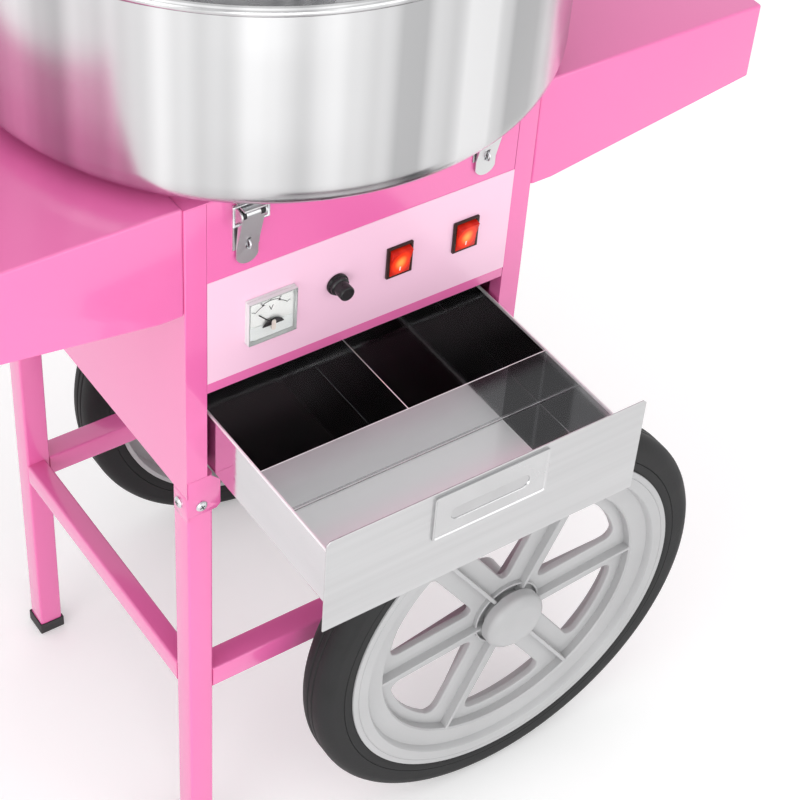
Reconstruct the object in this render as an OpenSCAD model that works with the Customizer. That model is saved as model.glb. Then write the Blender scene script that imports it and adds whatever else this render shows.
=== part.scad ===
// Cotton candy cart: a folded sheet cabinet on a tube frame with two wheels, a drawer,
// side shelves, a control panel, and a belt-driven spinner head in a clamped bowl.
// Millimetres, +Z up, +Y towards the back, standing on the floor at Z = 0.

/* [Cabinet] */
// Outer width of the cabinet
cab_w = 340; // [330:1:350]
// Outer depth of the cabinet
cab_d = 356; // [346:1:366]
// Height of the side panels' lower edge above the floor
cab_low = 503; // [500:1:506]
// Height of the deck's top face
deck_top = 814; // [808:1:820]
// Sheet thickness of the cabinet
sheet_t = 1.2; // [1:0.1:1.5]
// Width of the folded corner posts
post_w = 20; // [18:1:22]
// Height of the posts' lower ends
post_low = 522; // [521:1:524]
// Height of the front panel's lower edge
panel_low = 616; // [614:1:617]
// Depth of the front panel's folded lips
lip_d = 15; // [10:1:18]

/* [Frame] */
// Side of the square frame tube
tube = 25; // [22:1:27]
// Wall of the frame tube
tube_wall = 1.5; // [1:0.1:2.5]
// Height of the lower rails' centre line above the axle
rail_over_axle = 22; // [22:1:44]
// Width of the narrower side rails
side_rail_w = 20; // [16:1:22]
// Width of the corner brackets on the front and back
bracket_w = 33; // [31:1:36]
// Depth of the corner brackets on the sides
bracket_side_w = 23; // [20:1:25]
// Height of the brackets' lower edge on the front and back
bracket_low = 479; // [474:1:482]
// Height of the brackets' lower edge on the sides
bracket_side_low = 474; // [470:1:478]
// Height of the frame bolts
bolt_z = 489; // [486:1:491]
// Diameter of the frame bolts
bolt_d = 6; // [5:1:7]
// Height of the rubber feet
foot_h = 14; // [12:1:20]

/* [Wheels] */
// Outer diameter of a tyre
tyre_d = 452; // [444:2:460]
// Width of a tyre
tyre_w = 44; // [38:1:48]
// Depth of a tyre from its tread to the plastic rim
tyre_deep = 35; // [32:1:42]
// Width of the plastic rim
rim_w = 46; // [42:1:50]
// Depth of the rim's ring inside its outer edge
rim_depth = 40; // [30:1:46]
// Width of the web's ring inside the rim
web_ring = 12; // [8:1:16]
// Diameter of the hub barrel
hub_d = 52; // [48:1:58]
// Length of the hub barrel
hub_len = 60; // [56:1:66]
// Diameter of the axle
axle_d = 16; // [14:1:18]
// Number of spokes
spokes = 6; // [5:1:7]
// Width of a spoke's web
spoke_w = 42; // [34:1:48]
// Thickness of the spokes' webs
web_t = 8; // [6:0.5:10]
// Thickness of the wheel's ribs
rib_t = 4; // [3:0.5:6]
// Turn of the first spoke
spoke_turn = 5; // [0:1:59]
// Diameter of the hub cap
cap_d = 68; // [64:1:72]
// Length of the spacer sleeves between leg and hub
spacer_len = 8; // [5:1:12]

/* [Shelves] */
// Length of a side shelf
shelf_len = 240; // [200:5:280]
// How far the shelves' top stands above the deck
shelf_rise = 2; // [0:0.5:3]
// Depth of the shelf's front flange at the cabinet
shelf_h = 105; // [90:1:110]
// Depth of the shelf's front flange at its outer end
shelf_end_h = 73; // [60:1:80]
// Straight stretch of the front flange before it tapers
shelf_flat = 22; // [10:1:40]

/* [Push handle] */
// How far the grip stands out beyond the shelf
handle_out = 60; // [50:1:90]
// Outer diameter of the handle tube
handle_d = 22; // [20:1:25]
// Distance between the handle's arms
handle_span = 260; // [220:5:290]
// Distance of the handle below the shelf's end
handle_drop = 15; // [14:1:18]
// Bend radius of the handle
handle_bend = 40; // [34:1:50]
// Length of the soft grip
grip_len = 160; // [120:5:170]
// Outer diameter of the soft grip
grip_d = 29; // [27:1:32]

/* [Drawer] */
// How far the drawer is pulled out
drawer_out = 191; // [150:1:230]
// Length of the drawer box
drawer_len = 314; // [300:1:340]
// Height of the drawer's walls
drawer_h = 63; // [56:1:70]
// Sheet thickness of the drawer
drawer_t = 1; // [0.8:0.1:1.5]
// Gap between the drawer and each post
drawer_gap = 4; // [3:0.5:6]
// Height of the runners' top face
runner_top = 527.5; // [526:0.5:530]
// Distance from the front plate to the cross divider
divider_y = 115; // [100:1:150]
// Width of the front plate
plate_w = 316; // [308:1:330]
// Height of the front plate
plate_h = 103; // [95:1:108]
// Height of the front plate's lower edge
plate_low = 517; // [514:1:520]
// Thickness of the front plate
plate_t = 1.5; // [1:0.1:3]
// Width of the pull plate
pull_w = 114; // [105:1:120]
// Height of the pull plate
pull_h = 49; // [42:1:52]
// Distance from the front plate's top edge to the pull plate
pull_drop = 4; // [2:1:6]
// Thickness of the pull plate
pull_t = 2; // [1.5:0.1:3]
// Length of the finger slot
slot_w = 78; // [70:1:84]
// Height of the finger slot
slot_h = 13; // [10:1:15]
// Distance of the slot below the pull plate's middle
slot_drop = 3; // [0:0.5:5]
// Depth of the finger cup
slot_depth = 16; // [12:1:20]

/* [Control panel] */
// Height of the decal's lower edge
decal_low = 628; // [624:1:632]
// Height of the decal
decal_h = 106.5; // [98:0.5:108]
// Thickness of the decal
decal_t = 0.4; // [0.2:0.1:0.8]
// Place of the meter along the panel
meter_x = -92; // [-96:1:-88]
// Height of the meter's centre
meter_z = 680; // [676:1:684]
// Width of the meter
meter_w = 46; // [44:1:50]
// Height of the meter
meter_h = 44; // [42:1:48]
// Thickness of the meter's flange
meter_flange = 2.5; // [2:0.5:4]
// Height of the clear cover in front of the flange
meter_cover = 6.5; // [5:0.5:9]
// Diameter of the meter's barrel behind the panel
meter_barrel_d = 38; // [34:1:40]
// Length of the meter's barrel
meter_barrel = 26; // [20:1:32]
// Place of the knob along the panel
knob_x = -27; // [-30:1:-20]
// Height of the knob's centre
knob_z = 684; // [678:1:688]
// Diameter of the knob's skirt
knob_skirt_d = 20; // [18:1:24]
// Height of the knob's skirt
knob_skirt = 6; // [5:0.5:8]
// Diameter of the knob's grip
knob_grip_d = 14; // [12:1:16]
// Height of the knob's grip
knob_grip = 11; // [8:1:14]
// Diameter of the potentiometer's shaft
pot_shaft_d = 6; // [5:0.5:6.5]
// Place of the inner switch along the panel
switch_x = 34.5; // [31:0.5:38]
// Distance between the two switches
switch_pitch = 68; // [60:1:72]
// Height of the switches' centres
switch_z = 684.5; // [680:0.5:688]
// Width of a switch bezel
switch_w = 25.5; // [25:0.5:28]
// Height of a switch bezel
switch_h = 31.5; // [31.5:0.5:34]
// Thickness of a switch bezel
bezel_t = 2.5; // [2:0.5:3.5]
// Tilt of a rocker either way
rocker_tilt = 10; // [6:1:10]

/* [Latches] */
// Distance of a latch from the cabinet's middle
latch_x = 115; // [106:1:120]
// Distance of a latch's pivot below the deck
latch_drop = 16; // [15.5:0.5:17]
// Distance of a latch's pivot from the panel
latch_v = 9; // [8.5:0.1:10]
// Length of a latch lever below its pivot
lever_len = 54; // [50:1:57]
// Width of a latch lever
lever_w = 20; // [19:0.2:21]
// Diameter of a lever's pivot pin
latch_pin_d = 3; // [2.6:0.2:3.4]
// Diameter of the bail wire
bail_d = 2.4; // [2:0.2:2.8]
// Distance from the pivot down to the bail's pivot
bail_arm = 9; // [8.5:0.5:10]
// Length of the bail
bail_len = 18; // [17.5:0.5:18.5]

/* [Bowl] */
// Outer radius of the bowl's wall
bowl_r = 260; // [245:1:270]
// Height of the bowl
bowl_h = 185; // [150:1:200]
// Radius of the bowl's lower edge
bowl_fillet = 30; // [20:1:40]
// Wall of the bowl
bowl_wall = 1; // [0.8:0.1:2]
// Radius of the rolled top edge
bead_r = 4; // [3:0.5:6]
// Height of the rubber seat under the bowl
seat_h = 8; // [7:0.5:10]
// Outer radius of the rubber seat
seat_r = 150; // [140:1:160]

/* [Spinner] */
// Diameter of the spindle
spindle_d = 15; // [12:1:16]
// How far the spindle stands above the head's base
spindle_over = 10; // [7:1:14]
// Radius of the bearings
bearing_r = 17.5; // [16:0.5:18]
// Height of a bearing
bearing_h = 11; // [9:1:12]
// Outer radius of the bearing housing
housing_r = 28; // [26:1:30]
// Radius of the spindle pulley
pulley_r = 40; // [36:1:42]
// Radius of the motor pulley
motor_pulley_r = 22; // [20:1:24]
// Depth of the pulley grooves
groove = 4; // [3:0.5:5]
// Height of the pulleys' lower face
pulley_z = 735; // [734:1:737]
// Height of a pulley
pulley_h = 20; // [18:1:22]
// Distance from the spindle back to the motor
motor_y = 105; // [100:1:112]
// Radius of the motor
motor_r = 45; // [40:1:48]
// Length of the motor
motor_h = 95; // [85:1:98]
// Radius of the spinner head
head_r = 70; // [65:1:75]
// Height of the spinner head's band
head_h = 40; // [36:1:45]

/* [Hidden] */
$fn = 64;

// Clearances: loose sheets and bolts, running shafts, and the overrun of a cut
fit_gap = 0.3;
run_gap = 0.05;
bolt_gap = 0.2;
cut = 1;

// Cabinet faces
half_w = cab_w / 2;
half_d = cab_d / 2;
deck_under = deck_top - sheet_t;
post_in = half_w - post_w;
side_in = half_w - sheet_t;
back_in = half_d - sheet_t;
panel_half = post_in - fit_gap;
floor_z = panel_low + sheet_t;
floor_top = floor_z + sheet_t;

// Frame: the tubes stand inside the brackets, which are flush with the panels
bracket_t = sheet_t + fit_gap;
leg_x = half_w - bracket_t - tube / 2;
leg_y = half_d - bracket_t - tube / 2;
leg_face = half_d - bracket_t;
foot_lap = 9;
leg_top = post_low - 2 * fit_gap;
chamfer_share = 0.3;
small_chamfer_share = 0.12;
bolt_head_share = 0.92;
bolt_high_share = 0.42;
bolt_head_r = bolt_d * bolt_head_share;
bolt_head_h = bolt_d * bolt_high_share;
bolt_len = bracket_t + tube_wall + bolt_d;

// Wheels: the axle passes through the right legs
axle_z = tyre_d / 2;
rail_z = axle_z + rail_over_axle;
rim_d = tyre_d - 2 * tyre_deep;
leg_below_axle = 20;
hub_in = leg_face + spacer_len;
rim_proud = 9;
rim_front = hub_len + rim_proud;
rim_back = rim_front - rim_w;
tyre_back = rim_front - rim_w / 2 - tyre_w / 2;
web_share = 0.56;
ring_share = 0.74;
disc_share = 0.9;
disc_over = 1;
ring_over = 2;
rim_step_share = 0.45;
rim_drop = 8;
rim_wall = 5;
crown_share = 0.34;
web_z = rim_front - rim_w * web_share;
washer_t = 2;
washer_share = 0.85;
washer_r = axle_d * washer_share;
axle_over = 8;
pin_d = 3;
pin_over = 4;
pin_len = axle_d + 2 * pin_over;
cap_h = 17;
cap_wall = 2.5;
cap_round = 6;

// Shelf and push handle
shelf_x = half_w;
shelf_top = deck_top + shelf_rise;
handle_z = shelf_top - shelf_end_h - handle_drop;
shelf_end = half_w + shelf_len;
arm_y = handle_span / 2;
bar_x = shelf_end + handle_out;
arm_plate = 44;
arm_plate_t = 3;
handle_wall = 1.5;
handle_low_share = 0.7;
handle_high_share = 2;

// Drawer, at its pulled-out place
plate_gap = 0.5;
box_half = post_in - drawer_gap;
plate_back = half_d + plate_gap + drawer_out;
box_low = runner_top + fit_gap;
box_end = plate_back - drawer_len;
runner_t = 1.5;
runner_h = 24;
runner_lap = 8;
runner_in = box_half - runner_lap;
pull_top = plate_low + plate_h - pull_drop;
slot_z = pull_top - pull_h / 2 - slot_drop;
cup_wall = 1;
clip_share = 0.03;

// Control panel faces, as distances in front of the cabinet's middle
decal_face = half_d + decal_t;
meter_wall = 1.2;
meter_bevel = 2.4;
dial_t = 0.6;
needle_len = 18;
needle_w = 0.8;
needle_t = 0.5;
needle_pin_r = 0.9;
needle_drop = 6.5;
needle_lift = 1.4;
needle_rest = 135;
pot_r = 8.5;
pot_h = 10;
pot_neck_r = 4.5;
pot_neck = 5;
pot_shaft_from = -(decal_face + fit_gap - back_in) - pot_h / 2 + run_gap;
rocker_half = 13;
rocker_w = 19.8;
rocker_end = 2.5;
rocker_mid = 1.5;
rocker_back = 5;
rocker_depth = 4;
rocker_pin_r = 1.2;
rocker_pin = 1.3;
switch_body_w = 23.6;
switch_body_h = 29.6;
switch_depth = 24;
well_w = 20.4;
well_h = 28.2;
well_depth = 13;

// Latches
latch_z = deck_top - latch_drop;
ear_t = 1.4;
ear_r = 4.5;
ear_gap = 0.2;
base_edge = 0.6;
base_half = lever_w / 2 + ear_gap + ear_t + base_edge;
base_t = 1.2;
base_down = 39;
base_up = 5;
ear_low = 10;
ear_back = 4.5;
lever_t = 1.2;
lever_flange = 1.5;
lever_lift = 3.4;
lever_barrel_r = 3;
lever_tip = 10.6;
lever_crease = 38;
lever_near = base_t + 2 * fit_gap;
eye_half = 1.6;
eye_slot = 12;
bail_side = 2.2;
bail_x = base_half + bail_d / 2 + bail_side;
bail_in = 1.2;
bail_v = latch_v - bail_in;
corner_over = 0.1;
bail_corner_r = bail_d / 2 + corner_over;
catch_half = 10;
catch_t = 1.2;
catch_off = 1;
catch_reach = 15;
catch_lip = 0.6;
bail_low = latch_z - bail_arm;
bail_top = bail_low + bail_len;
catch_ledge = bail_top - bail_d / 2 - fit_gap;

// Bowl and spinner
bowl_low = deck_top + seat_h;
seat_w = 10;
housing_gap = 7;
housing_low = pulley_z + pulley_h + housing_gap;
neck_h = 16;
housing_top = bowl_low + neck_h;
flange_r = 48;
bearing_in = 2;
flange_t = 6;
spindle_low = 660;
slip_r = 14;
slip_low = 670;
slip_h = 54;
ring_r = 17;
ring_h = 12;
ring_pitch = 26;
ring_low = 678;
brush_w = 8;
brush_len = 13;
holder_w = 24;
holder_d = 26;
head_rise = 40;
head_low = bowl_low + head_rise;
spindle_top = head_low + spindle_over;
head_t = 2;
head_boss_r = 14;
head_boss_h = 14;
heater_r = 58;
heater_wire_r = 4;
heater_lift = 14;
heater_post_r = 2.5;
cap_hole_r = 42;
cap_lip = 8;
motor_shaft_r = 5;
belt_t = 5;
belt_h = 9;
gland_r = 9;
gland_hex_r = 13;
gland_len = 14;
gland_z = 655;
gland_x = 120;

// The model stands with the middle of its whole box over the origin
x_low = -(bar_x + grip_d / 2);
x_high = shelf_end;
y_low = -(plate_back + plate_t + pull_t);
y_high = bowl_r + bead_r;
middle = [(x_low + x_high) / 2, (y_low + y_high) / 2, 0];

pink = [0.95, 0.36, 0.62];
pale_pink = [0.98, 0.78, 0.88];
steel = [0.78, 0.78, 0.8];
grey_plastic = [0.68, 0.69, 0.7];
black = [0.08, 0.08, 0.08];

// A box given by its low and high corners
module block(low, high) {
  translate(low) cube(high - low);
}

// Children on both sides of the middle plane
module both_x() {
  children();
  mirror([1, 0, 0]) children();
}

// Children at the front and the back
module both_y() {
  children();
  mirror([0, 1, 0]) children();
}

// Children turned so that their +Z points out of the front panel
module facing_front(x, y, z) {
  translate([x, -y, z]) rotate([90, 0, 0]) children();
}

// Side panel folded into a front and a rear post and a top flange, drawn on the right. Below the
// machine's floor each post is folded in once more
module side_sheet() {
  block([side_in, -half_d, cab_low], [half_w, half_d, deck_under]);
  both_y() {
    block([post_in, -half_d, post_low], [half_w, -back_in, deck_under]);
    block([post_in, -half_d, post_low], [post_in + sheet_t, lip_d - half_d, floor_z - fit_gap]);
  }
  block([post_in, -half_d, deck_under - sheet_t], [half_w, half_d, deck_under]);
}

module left_side_panel() {
  color(pink) mirror([1, 0, 0]) side_sheet();
}

module right_side_panel() {
  color(pink) side_sheet();
}

// Window through the front panel and the decal for a switch body
module switch_window(x) {
  w = switch_body_w / 2 + fit_gap;
  h = switch_body_h / 2 + fit_gap;
  block([x - w, -decal_face - cut, switch_z - h], [x + w, -half_d + lip_d, switch_z + h]);
}

// All openings of the control panel
module panel_windows() {
  deep = lip_d + cut;
  facing_front(meter_x, half_d - lip_d, meter_z) cylinder(r = meter_barrel_d / 2 + fit_gap, h = deep);
  facing_front(knob_x, half_d - lip_d, knob_z) cylinder(r = pot_neck_r + bolt_gap, h = deep);
  switch_window(switch_x);
  switch_window(switch_x + switch_pitch);
}

// Front panel between the posts, with a lip folded in at the bottom and at the top
module front_panel() {
  color(pink) difference() {
    union() {
      block([-panel_half, -half_d, panel_low], [panel_half, -back_in, deck_under]);
      block([-panel_half, -half_d, panel_low], [panel_half, lip_d - half_d, floor_z]);
      block([-panel_half, -half_d, deck_under - sheet_t], [panel_half, lip_d - half_d, deck_under]);
    }
    panel_windows();
  }
}

// Printed sheet on the front panel
module control_decal() {
  color(pale_pink) difference() {
    block([-panel_half, -decal_face, decal_low], [panel_half, -half_d, decal_low + decal_h]);
    panel_windows();
  }
}

module back_panel() {
  color(pink) difference() {
    block([-panel_half, back_in, post_low], [panel_half, half_d, deck_under]);
    translate([gland_x, back_in - cut, gland_z]) rotate([-90, 0, 0])
      cylinder(r = gland_r + bolt_gap, h = sheet_t + 2 * cut);
  }
}

// Top sheet, with a hole for the bearing housing
module deck() {
  color(pink) difference() {
    block([-half_w, -half_d, deck_under], [half_w, half_d, deck_top]);
    translate([0, 0, deck_under - cut]) cylinder(r = housing_r + fit_gap, h = sheet_t + 2 * cut);
  }
}

// Sheet between the machine above and the drawer below, resting on the front panel's lip
module machine_floor() {
  color(pink)
    block([fit_gap - side_in, sheet_t + fit_gap - half_d, floor_z],
          [side_in - fit_gap, back_in - fit_gap, floor_top]);
}

// Two angles on the side panels that carry the drawer, between the posts' folds
module drawer_runners() {
  y = half_d - lip_d - fit_gap;
  color("silver") both_x() {
    block([runner_in, -y, runner_top - runner_t], [side_in, y, runner_top]);
    block([side_in - runner_t, -y, runner_top - runner_t], [side_in, y, runner_top + runner_h]);
  }
}

// Folded tray, open below: top, tapered front and rear flanges, and two end flanges
module shelf() {
  low = shelf_top - shelf_h;
  outline = [
    [shelf_x, shelf_top], [shelf_end, shelf_top], [shelf_end, shelf_top - shelf_end_h],
    [shelf_x + shelf_flat, low], [shelf_x, low]
  ];
  block([shelf_x, -half_d, shelf_top - sheet_t], [shelf_end, half_d, shelf_top]);
  block([shelf_x, -half_d, low], [shelf_x + sheet_t, half_d, shelf_top]);
  block([shelf_end - sheet_t, -half_d, shelf_top - shelf_end_h], [shelf_end, half_d, shelf_top]);
  both_y() translate([0, -back_in, 0]) rotate([90, 0, 0]) linear_extrude(sheet_t) polygon(outline);
}

module left_shelf() {
  color(pink) mirror([1, 0, 0]) shelf();
}

module right_shelf() {
  color(pink) shelf();
}

// Square tube along Z
module post_tube(low, high) {
  inner = tube / 2 - tube_wall;
  difference() {
    block([-tube / 2, -tube / 2, low], [tube / 2, tube / 2, high]);
    block([-inner, -inner, low - cut], [inner, inner, high + cut]);
  }
}

// Holes for the bracket bolts through a leg's outer walls, drawn for the right rear corner
module leg_bolt_holes() {
  r = bolt_d / 2 + bolt_gap;
  deep = tube / 2 + cut;
  translate([leg_x, leg_y, bolt_z]) rotate([-90, 0, 0]) cylinder(r = r, h = deep + bracket_t);
  translate([leg_x, leg_y, bolt_z]) rotate([0, 90, 0]) cylinder(r = r, h = deep + bracket_t);
}

// A leg at the right rear corner, from a height up into its bracket
module leg(low) {
  difference() {
    translate([leg_x, leg_y, 0]) post_tube(low, leg_top);
    leg_bolt_holes();
  }
}

module left_legs() {
  color(pink) mirror([1, 0, 0]) both_y() leg(foot_h - foot_lap);
}

// The right legs end just below the axle that passes through them
module right_legs() {
  color(pink) both_y() difference() {
    leg(axle_z - leg_below_axle);
    translate([leg_x, leg_y - tube, axle_z]) rotate([-90, 0, 0])
      cylinder(r = axle_d / 2 + run_gap, h = 2 * tube);
  }
}

// Tubes between the legs: one along the front and the back, a narrower one at each end
module lower_rails() {
  reach = leg_x - tube / 2;
  inner = tube / 2 - tube_wall;
  side_out = leg_x + tube / 2;
  side_from = side_out - side_rail_w;
  y = leg_y - tube / 2;
  color(pink) {
    both_y() translate([0, leg_y, rail_z]) difference() {
      block([-reach, -tube / 2, -tube / 2], [reach, tube / 2, tube / 2]);
      block([-reach - cut, -inner, -inner], [reach + cut, inner, inner]);
    }
    both_x() translate([0, 0, rail_z]) difference() {
      block([side_from, -y, -tube / 2], [side_out, y, tube / 2]);
      block([side_from + tube_wall, -y - cut, -inner], [side_out - tube_wall, y + cut, inner]);
    }
  }
}

// Angle round a leg's outer corner, flush with the post above it, at the right rear
module corner_bracket() {
  x = half_w - bracket_t;
  inner = half_w - bracket_w;
  high = post_low - fit_gap;
  chamfer = bracket_w * chamfer_share;
  clip = bracket_w * small_chamfer_share;
  outline = [
    [half_w, bracket_low], [half_w, cab_low - fit_gap], [x, cab_low - fit_gap], [x, high],
    [inner + chamfer, high], [inner, high - chamfer], [inner, bracket_low + clip], [inner + clip, bracket_low]
  ];
  difference() {
    union() {
      translate([0, half_d, 0]) rotate([90, 0, 0]) linear_extrude(bracket_t) polygon(outline);
      block([x, half_d - bracket_side_w, bracket_side_low], [half_w, half_d, cab_low - fit_gap]);
    }
    leg_bolt_holes();
  }
}

module corner_brackets() {
  color(pink) both_x() both_y() corner_bracket();
}

// Pan-head bolt along +Z, its head's underside at Z = 0
module bolt() {
  translate([0, 0, -bolt_len]) cylinder(d = bolt_d, h = bolt_len);
  cylinder(r = bolt_head_r, h = bolt_head_h);
}

// Bolts through the brackets into the legs, two at each corner
module frame_bolts() {
  color(steel) both_x() both_y() {
    translate([leg_x, half_d, bolt_z]) rotate([-90, 0, 0]) bolt();
    translate([half_w, leg_y, bolt_z]) rotate([0, 90, 0]) bolt();
  }
}

// Rubber cups under the left legs
module leg_feet() {
  wall = tube_wall;
  side = tube / 2 + wall;
  low = foot_h - foot_lap;
  inner = tube / 2;
  color(black) mirror([1, 0, 0]) both_y() translate([leg_x, leg_y, 0]) difference() {
    block([-side, -side, 0], [side, side, foot_h]);
    block([-inner, -inner, low], [inner, inner, foot_h + cut]);
  }
}

// Children with +Z along the axle, out of the cart, from the hub's inner end
module at_front_hub() {
  facing_front(leg_x, hub_in, axle_z) children();
}

module at_back_hub() {
  mirror([0, 1, 0]) at_front_hub() children();
}

module axle() {
  reach = hub_in + hub_len + axle_over;
  color(steel) translate([leg_x, -reach, axle_z]) rotate([-90, 0, 0]) difference() {
    cylinder(d = axle_d, h = 2 * reach);
    for (z = [0, 2 * reach])
      translate([-axle_d, 0, abs(z - axle_over / 2)]) rotate([0, 90, 0])
        cylinder(d = pin_d + 2 * run_gap, h = 2 * axle_d);
  }
}

// Spacer sleeves inside the hubs, washers outside them, and the pins that hold the wheels on
module axle_washers() {
  bore = axle_d / 2 + run_gap;
  color(steel) both_y() at_front_hub() {
    translate([0, 0, -spacer_len]) difference() {
      cylinder(r = washer_r, h = spacer_len - fit_gap);
      translate([0, 0, -cut]) cylinder(r = bore, h = spacer_len + 2 * cut);
    }
    translate([0, 0, hub_len + fit_gap]) difference() {
      cylinder(r = washer_r, h = washer_t);
      translate([0, 0, -cut]) cylinder(r = bore, h = washer_t + 2 * cut);
    }
    translate([-pin_len / 2, 0, hub_len + axle_over / 2]) rotate([0, 90, 0])
      cylinder(d = pin_d, h = pin_len);
  }
}

// Half section of the rim: a stepped channel, open at the back, that the spokes join
module rim_section() {
  r = rim_d / 2;
  step = rim_depth * rim_step_share;
  difference() {
    union() {
      translate([r - step, rim_back]) square([step, rim_w]);
      translate([r - rim_depth, rim_back + rim_drop]) square([rim_depth, rim_w - 2 * rim_drop]);
    }
    translate([r - rim_depth + rim_wall, rim_back - cut])
      square([rim_depth - 2 * rim_wall, web_z + rim_wall - rim_back + cut]);
  }
}

// Deep rib on a spoke's middle, highest at the hub
module spoke_rib() {
  r = rim_d / 2 - rim_depth + cut;
  outline = [
    [hub_d / 4, rim_back], [r, rim_back + rim_drop + cut], [r, rim_front - rim_drop - cut],
    [hub_d / 2, hub_len - cut], [hub_d / 4, hub_len - cut]
  ];
  translate([0, rib_t / 2, 0]) rotate([90, 0, 0]) linear_extrude(rib_t) polygon(outline);
}

// Moulded wheel: hub barrel, ring rib, spokes with webs and ribs, and the rim
module wheel() {
  r = rim_d / 2 - rim_depth;
  difference() {
    union() {
      cylinder(d = hub_d, h = hub_len);
      rotate_extrude() rim_section();
      translate([0, 0, web_z - disc_over]) {
        cylinder(r = hub_d * disc_share, h = web_t + 2 * disc_over);
        difference() {
          cylinder(r = r + cut, h = web_t + 2 * disc_over);
          translate([0, 0, -cut]) cylinder(r = r - web_ring, h = web_t + 2 * disc_over + 2 * cut);
        }
      }
      translate([0, 0, web_z + web_t / 2]) difference() {
        cylinder(r = hub_d * ring_share, h = web_t + ring_over);
        translate([0, 0, -cut]) cylinder(r = hub_d * ring_share - rib_t / 2, h = web_t + ring_over + 2 * cut);
      }
      for (i = [0 : spokes - 1]) rotate(spoke_turn + i * 360 / spokes) {
        block([0, -spoke_w / 2, web_z], [r + cut, spoke_w / 2, web_z + web_t]);
        spoke_rib();
      }
    }
    translate([0, 0, -cut]) cylinder(r = axle_d / 2 + run_gap, h = hub_len + 2 * cut);
  }
}

module front_wheel() {
  color(grey_plastic) at_front_hub() wheel();
}

module back_wheel() {
  color(grey_plastic) at_back_hub() wheel();
}

// Solid rubber tyre with a rounded crown
module tyre() {
  r = rim_d / 2 + run_gap;
  high = tyre_d / 2 - r;
  crown = tyre_w * crown_share;
  rotate_extrude() translate([r, tyre_back]) union() {
    square([high - crown, tyre_w]);
    translate([0, crown]) square([high, tyre_w - 2 * crown]);
    for (y = [crown, tyre_w - crown]) translate([high - crown, y]) circle(r = crown);
  }
}

module front_tyre() {
  color(black) at_front_hub() tyre();
}

module back_tyre() {
  color(black) at_back_hub() tyre();
}

// Domed cap over the hub's outer end, hollow over the axle's end
module hub_cap() {
  r = cap_d / 2;
  difference() {
    rotate_extrude() {
      square([r - cap_round, cap_h]);
      square([r, cap_h - cap_round]);
      intersection() {
        translate([r - cap_round, cap_h - cap_round]) circle(r = cap_round);
        square([r, cap_h]);
      }
    }
    translate([0, 0, -cut]) cylinder(r = hub_d / 2 - cap_wall, h = cap_h - cap_wall + cut);
  }
}

module front_hub_cap() {
  color(grey_plastic) at_front_hub() translate([0, 0, hub_len]) hub_cap();
}

module back_hub_cap() {
  color(grey_plastic) at_back_hub() translate([0, 0, hub_len]) hub_cap();
}

// Bent tube: two arms bolted to the left shelf's inner flange and a cross bar
module handle_rod(r) {
  x = bar_x - handle_bend;
  y = arm_y - handle_bend;
  from = shelf_x + sheet_t;
  translate([0, 0, handle_z]) {
    both_y() translate([from, arm_y, 0]) rotate([0, 90, 0]) cylinder(r = r, h = x - from);
    both_y() translate([x, y, 0]) rotate_extrude(angle = 90) translate([handle_bend, 0]) circle(r = r);
    translate([bar_x, -y, 0]) rotate([-90, 0, 0]) cylinder(r = r, h = 2 * y);
  }
}

module push_handle() {
  plate = arm_plate / 2;
  x = shelf_x + sheet_t;
  color(pink) mirror([1, 0, 0]) difference() {
    union() {
      handle_rod(handle_d / 2);
      both_y() translate([x, arm_y, handle_z])
        block([0, -plate, -handle_d * handle_low_share], [arm_plate_t, plate, handle_d * handle_high_share]);
    }
    handle_rod(handle_d / 2 - handle_wall);
  }
}

// Soft sleeve on the handle's cross bar
module handle_grip() {
  color(black) translate([-bar_x, -grip_len / 2, handle_z]) rotate([-90, 0, 0]) difference() {
    cylinder(d = grip_d, h = grip_len);
    translate([0, 0, -cut]) cylinder(r = handle_d / 2 + run_gap, h = grip_len + 2 * cut);
  }
}

// Space of the finger cup, from in front of the pull plate to its bottom, grown by a wall
module finger_cup(grow) {
  x = slot_w / 2 - slot_h / 2;
  deep = slot_depth + pull_t;
  translate([0, -plate_back - plate_t - pull_t, slot_z]) rotate([-90, 0, 0]) translate([0, 0, -cut]) {
    for (s = [-1, 1]) translate([s * x, 0, 0]) cylinder(r = slot_h / 2 + grow, h = deep + cut + grow);
    block([-x, -slot_h / 2 - grow, 0], [x, slot_h / 2 + grow, deep + cut + grow]);
  }
}

// Open box of folded sheet
module drawer_box() {
  t = drawer_t;
  color(steel) difference() {
    block([-box_half, -plate_back, box_low], [box_half, -box_end, box_low + drawer_h]);
    block([t - box_half, t - plate_back, box_low + t],
          [box_half - t, -box_end - t, box_low + drawer_h + cut]);
    finger_cup(cup_wall + fit_gap);
  }
}

// Cross divider and the lengthwise partition behind it
module drawer_dividers() {
  t = drawer_t;
  low = box_low + t;
  high = box_low + drawer_h;
  y = divider_y - plate_back;
  inner = box_half - t;
  color(steel) {
    block([-inner, y, low], [inner, y + t, high]);
    block([-t / 2, y + t, low], [t / 2, -box_end - t, high]);
  }
}

// Front plate with clipped top corners
module drawer_front() {
  w = plate_w / 2;
  high = plate_low + plate_h;
  clip = plate_h * clip_share;
  outline = [
    [-w, plate_low], [w, plate_low], [w, high - clip], [w - clip, high], [clip - w, high], [-w, high - clip]
  ];
  color(steel) difference() {
    translate([0, -plate_back, 0]) rotate([90, 0, 0]) linear_extrude(plate_t) polygon(outline);
    finger_cup(cup_wall + fit_gap);
  }
}

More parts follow.
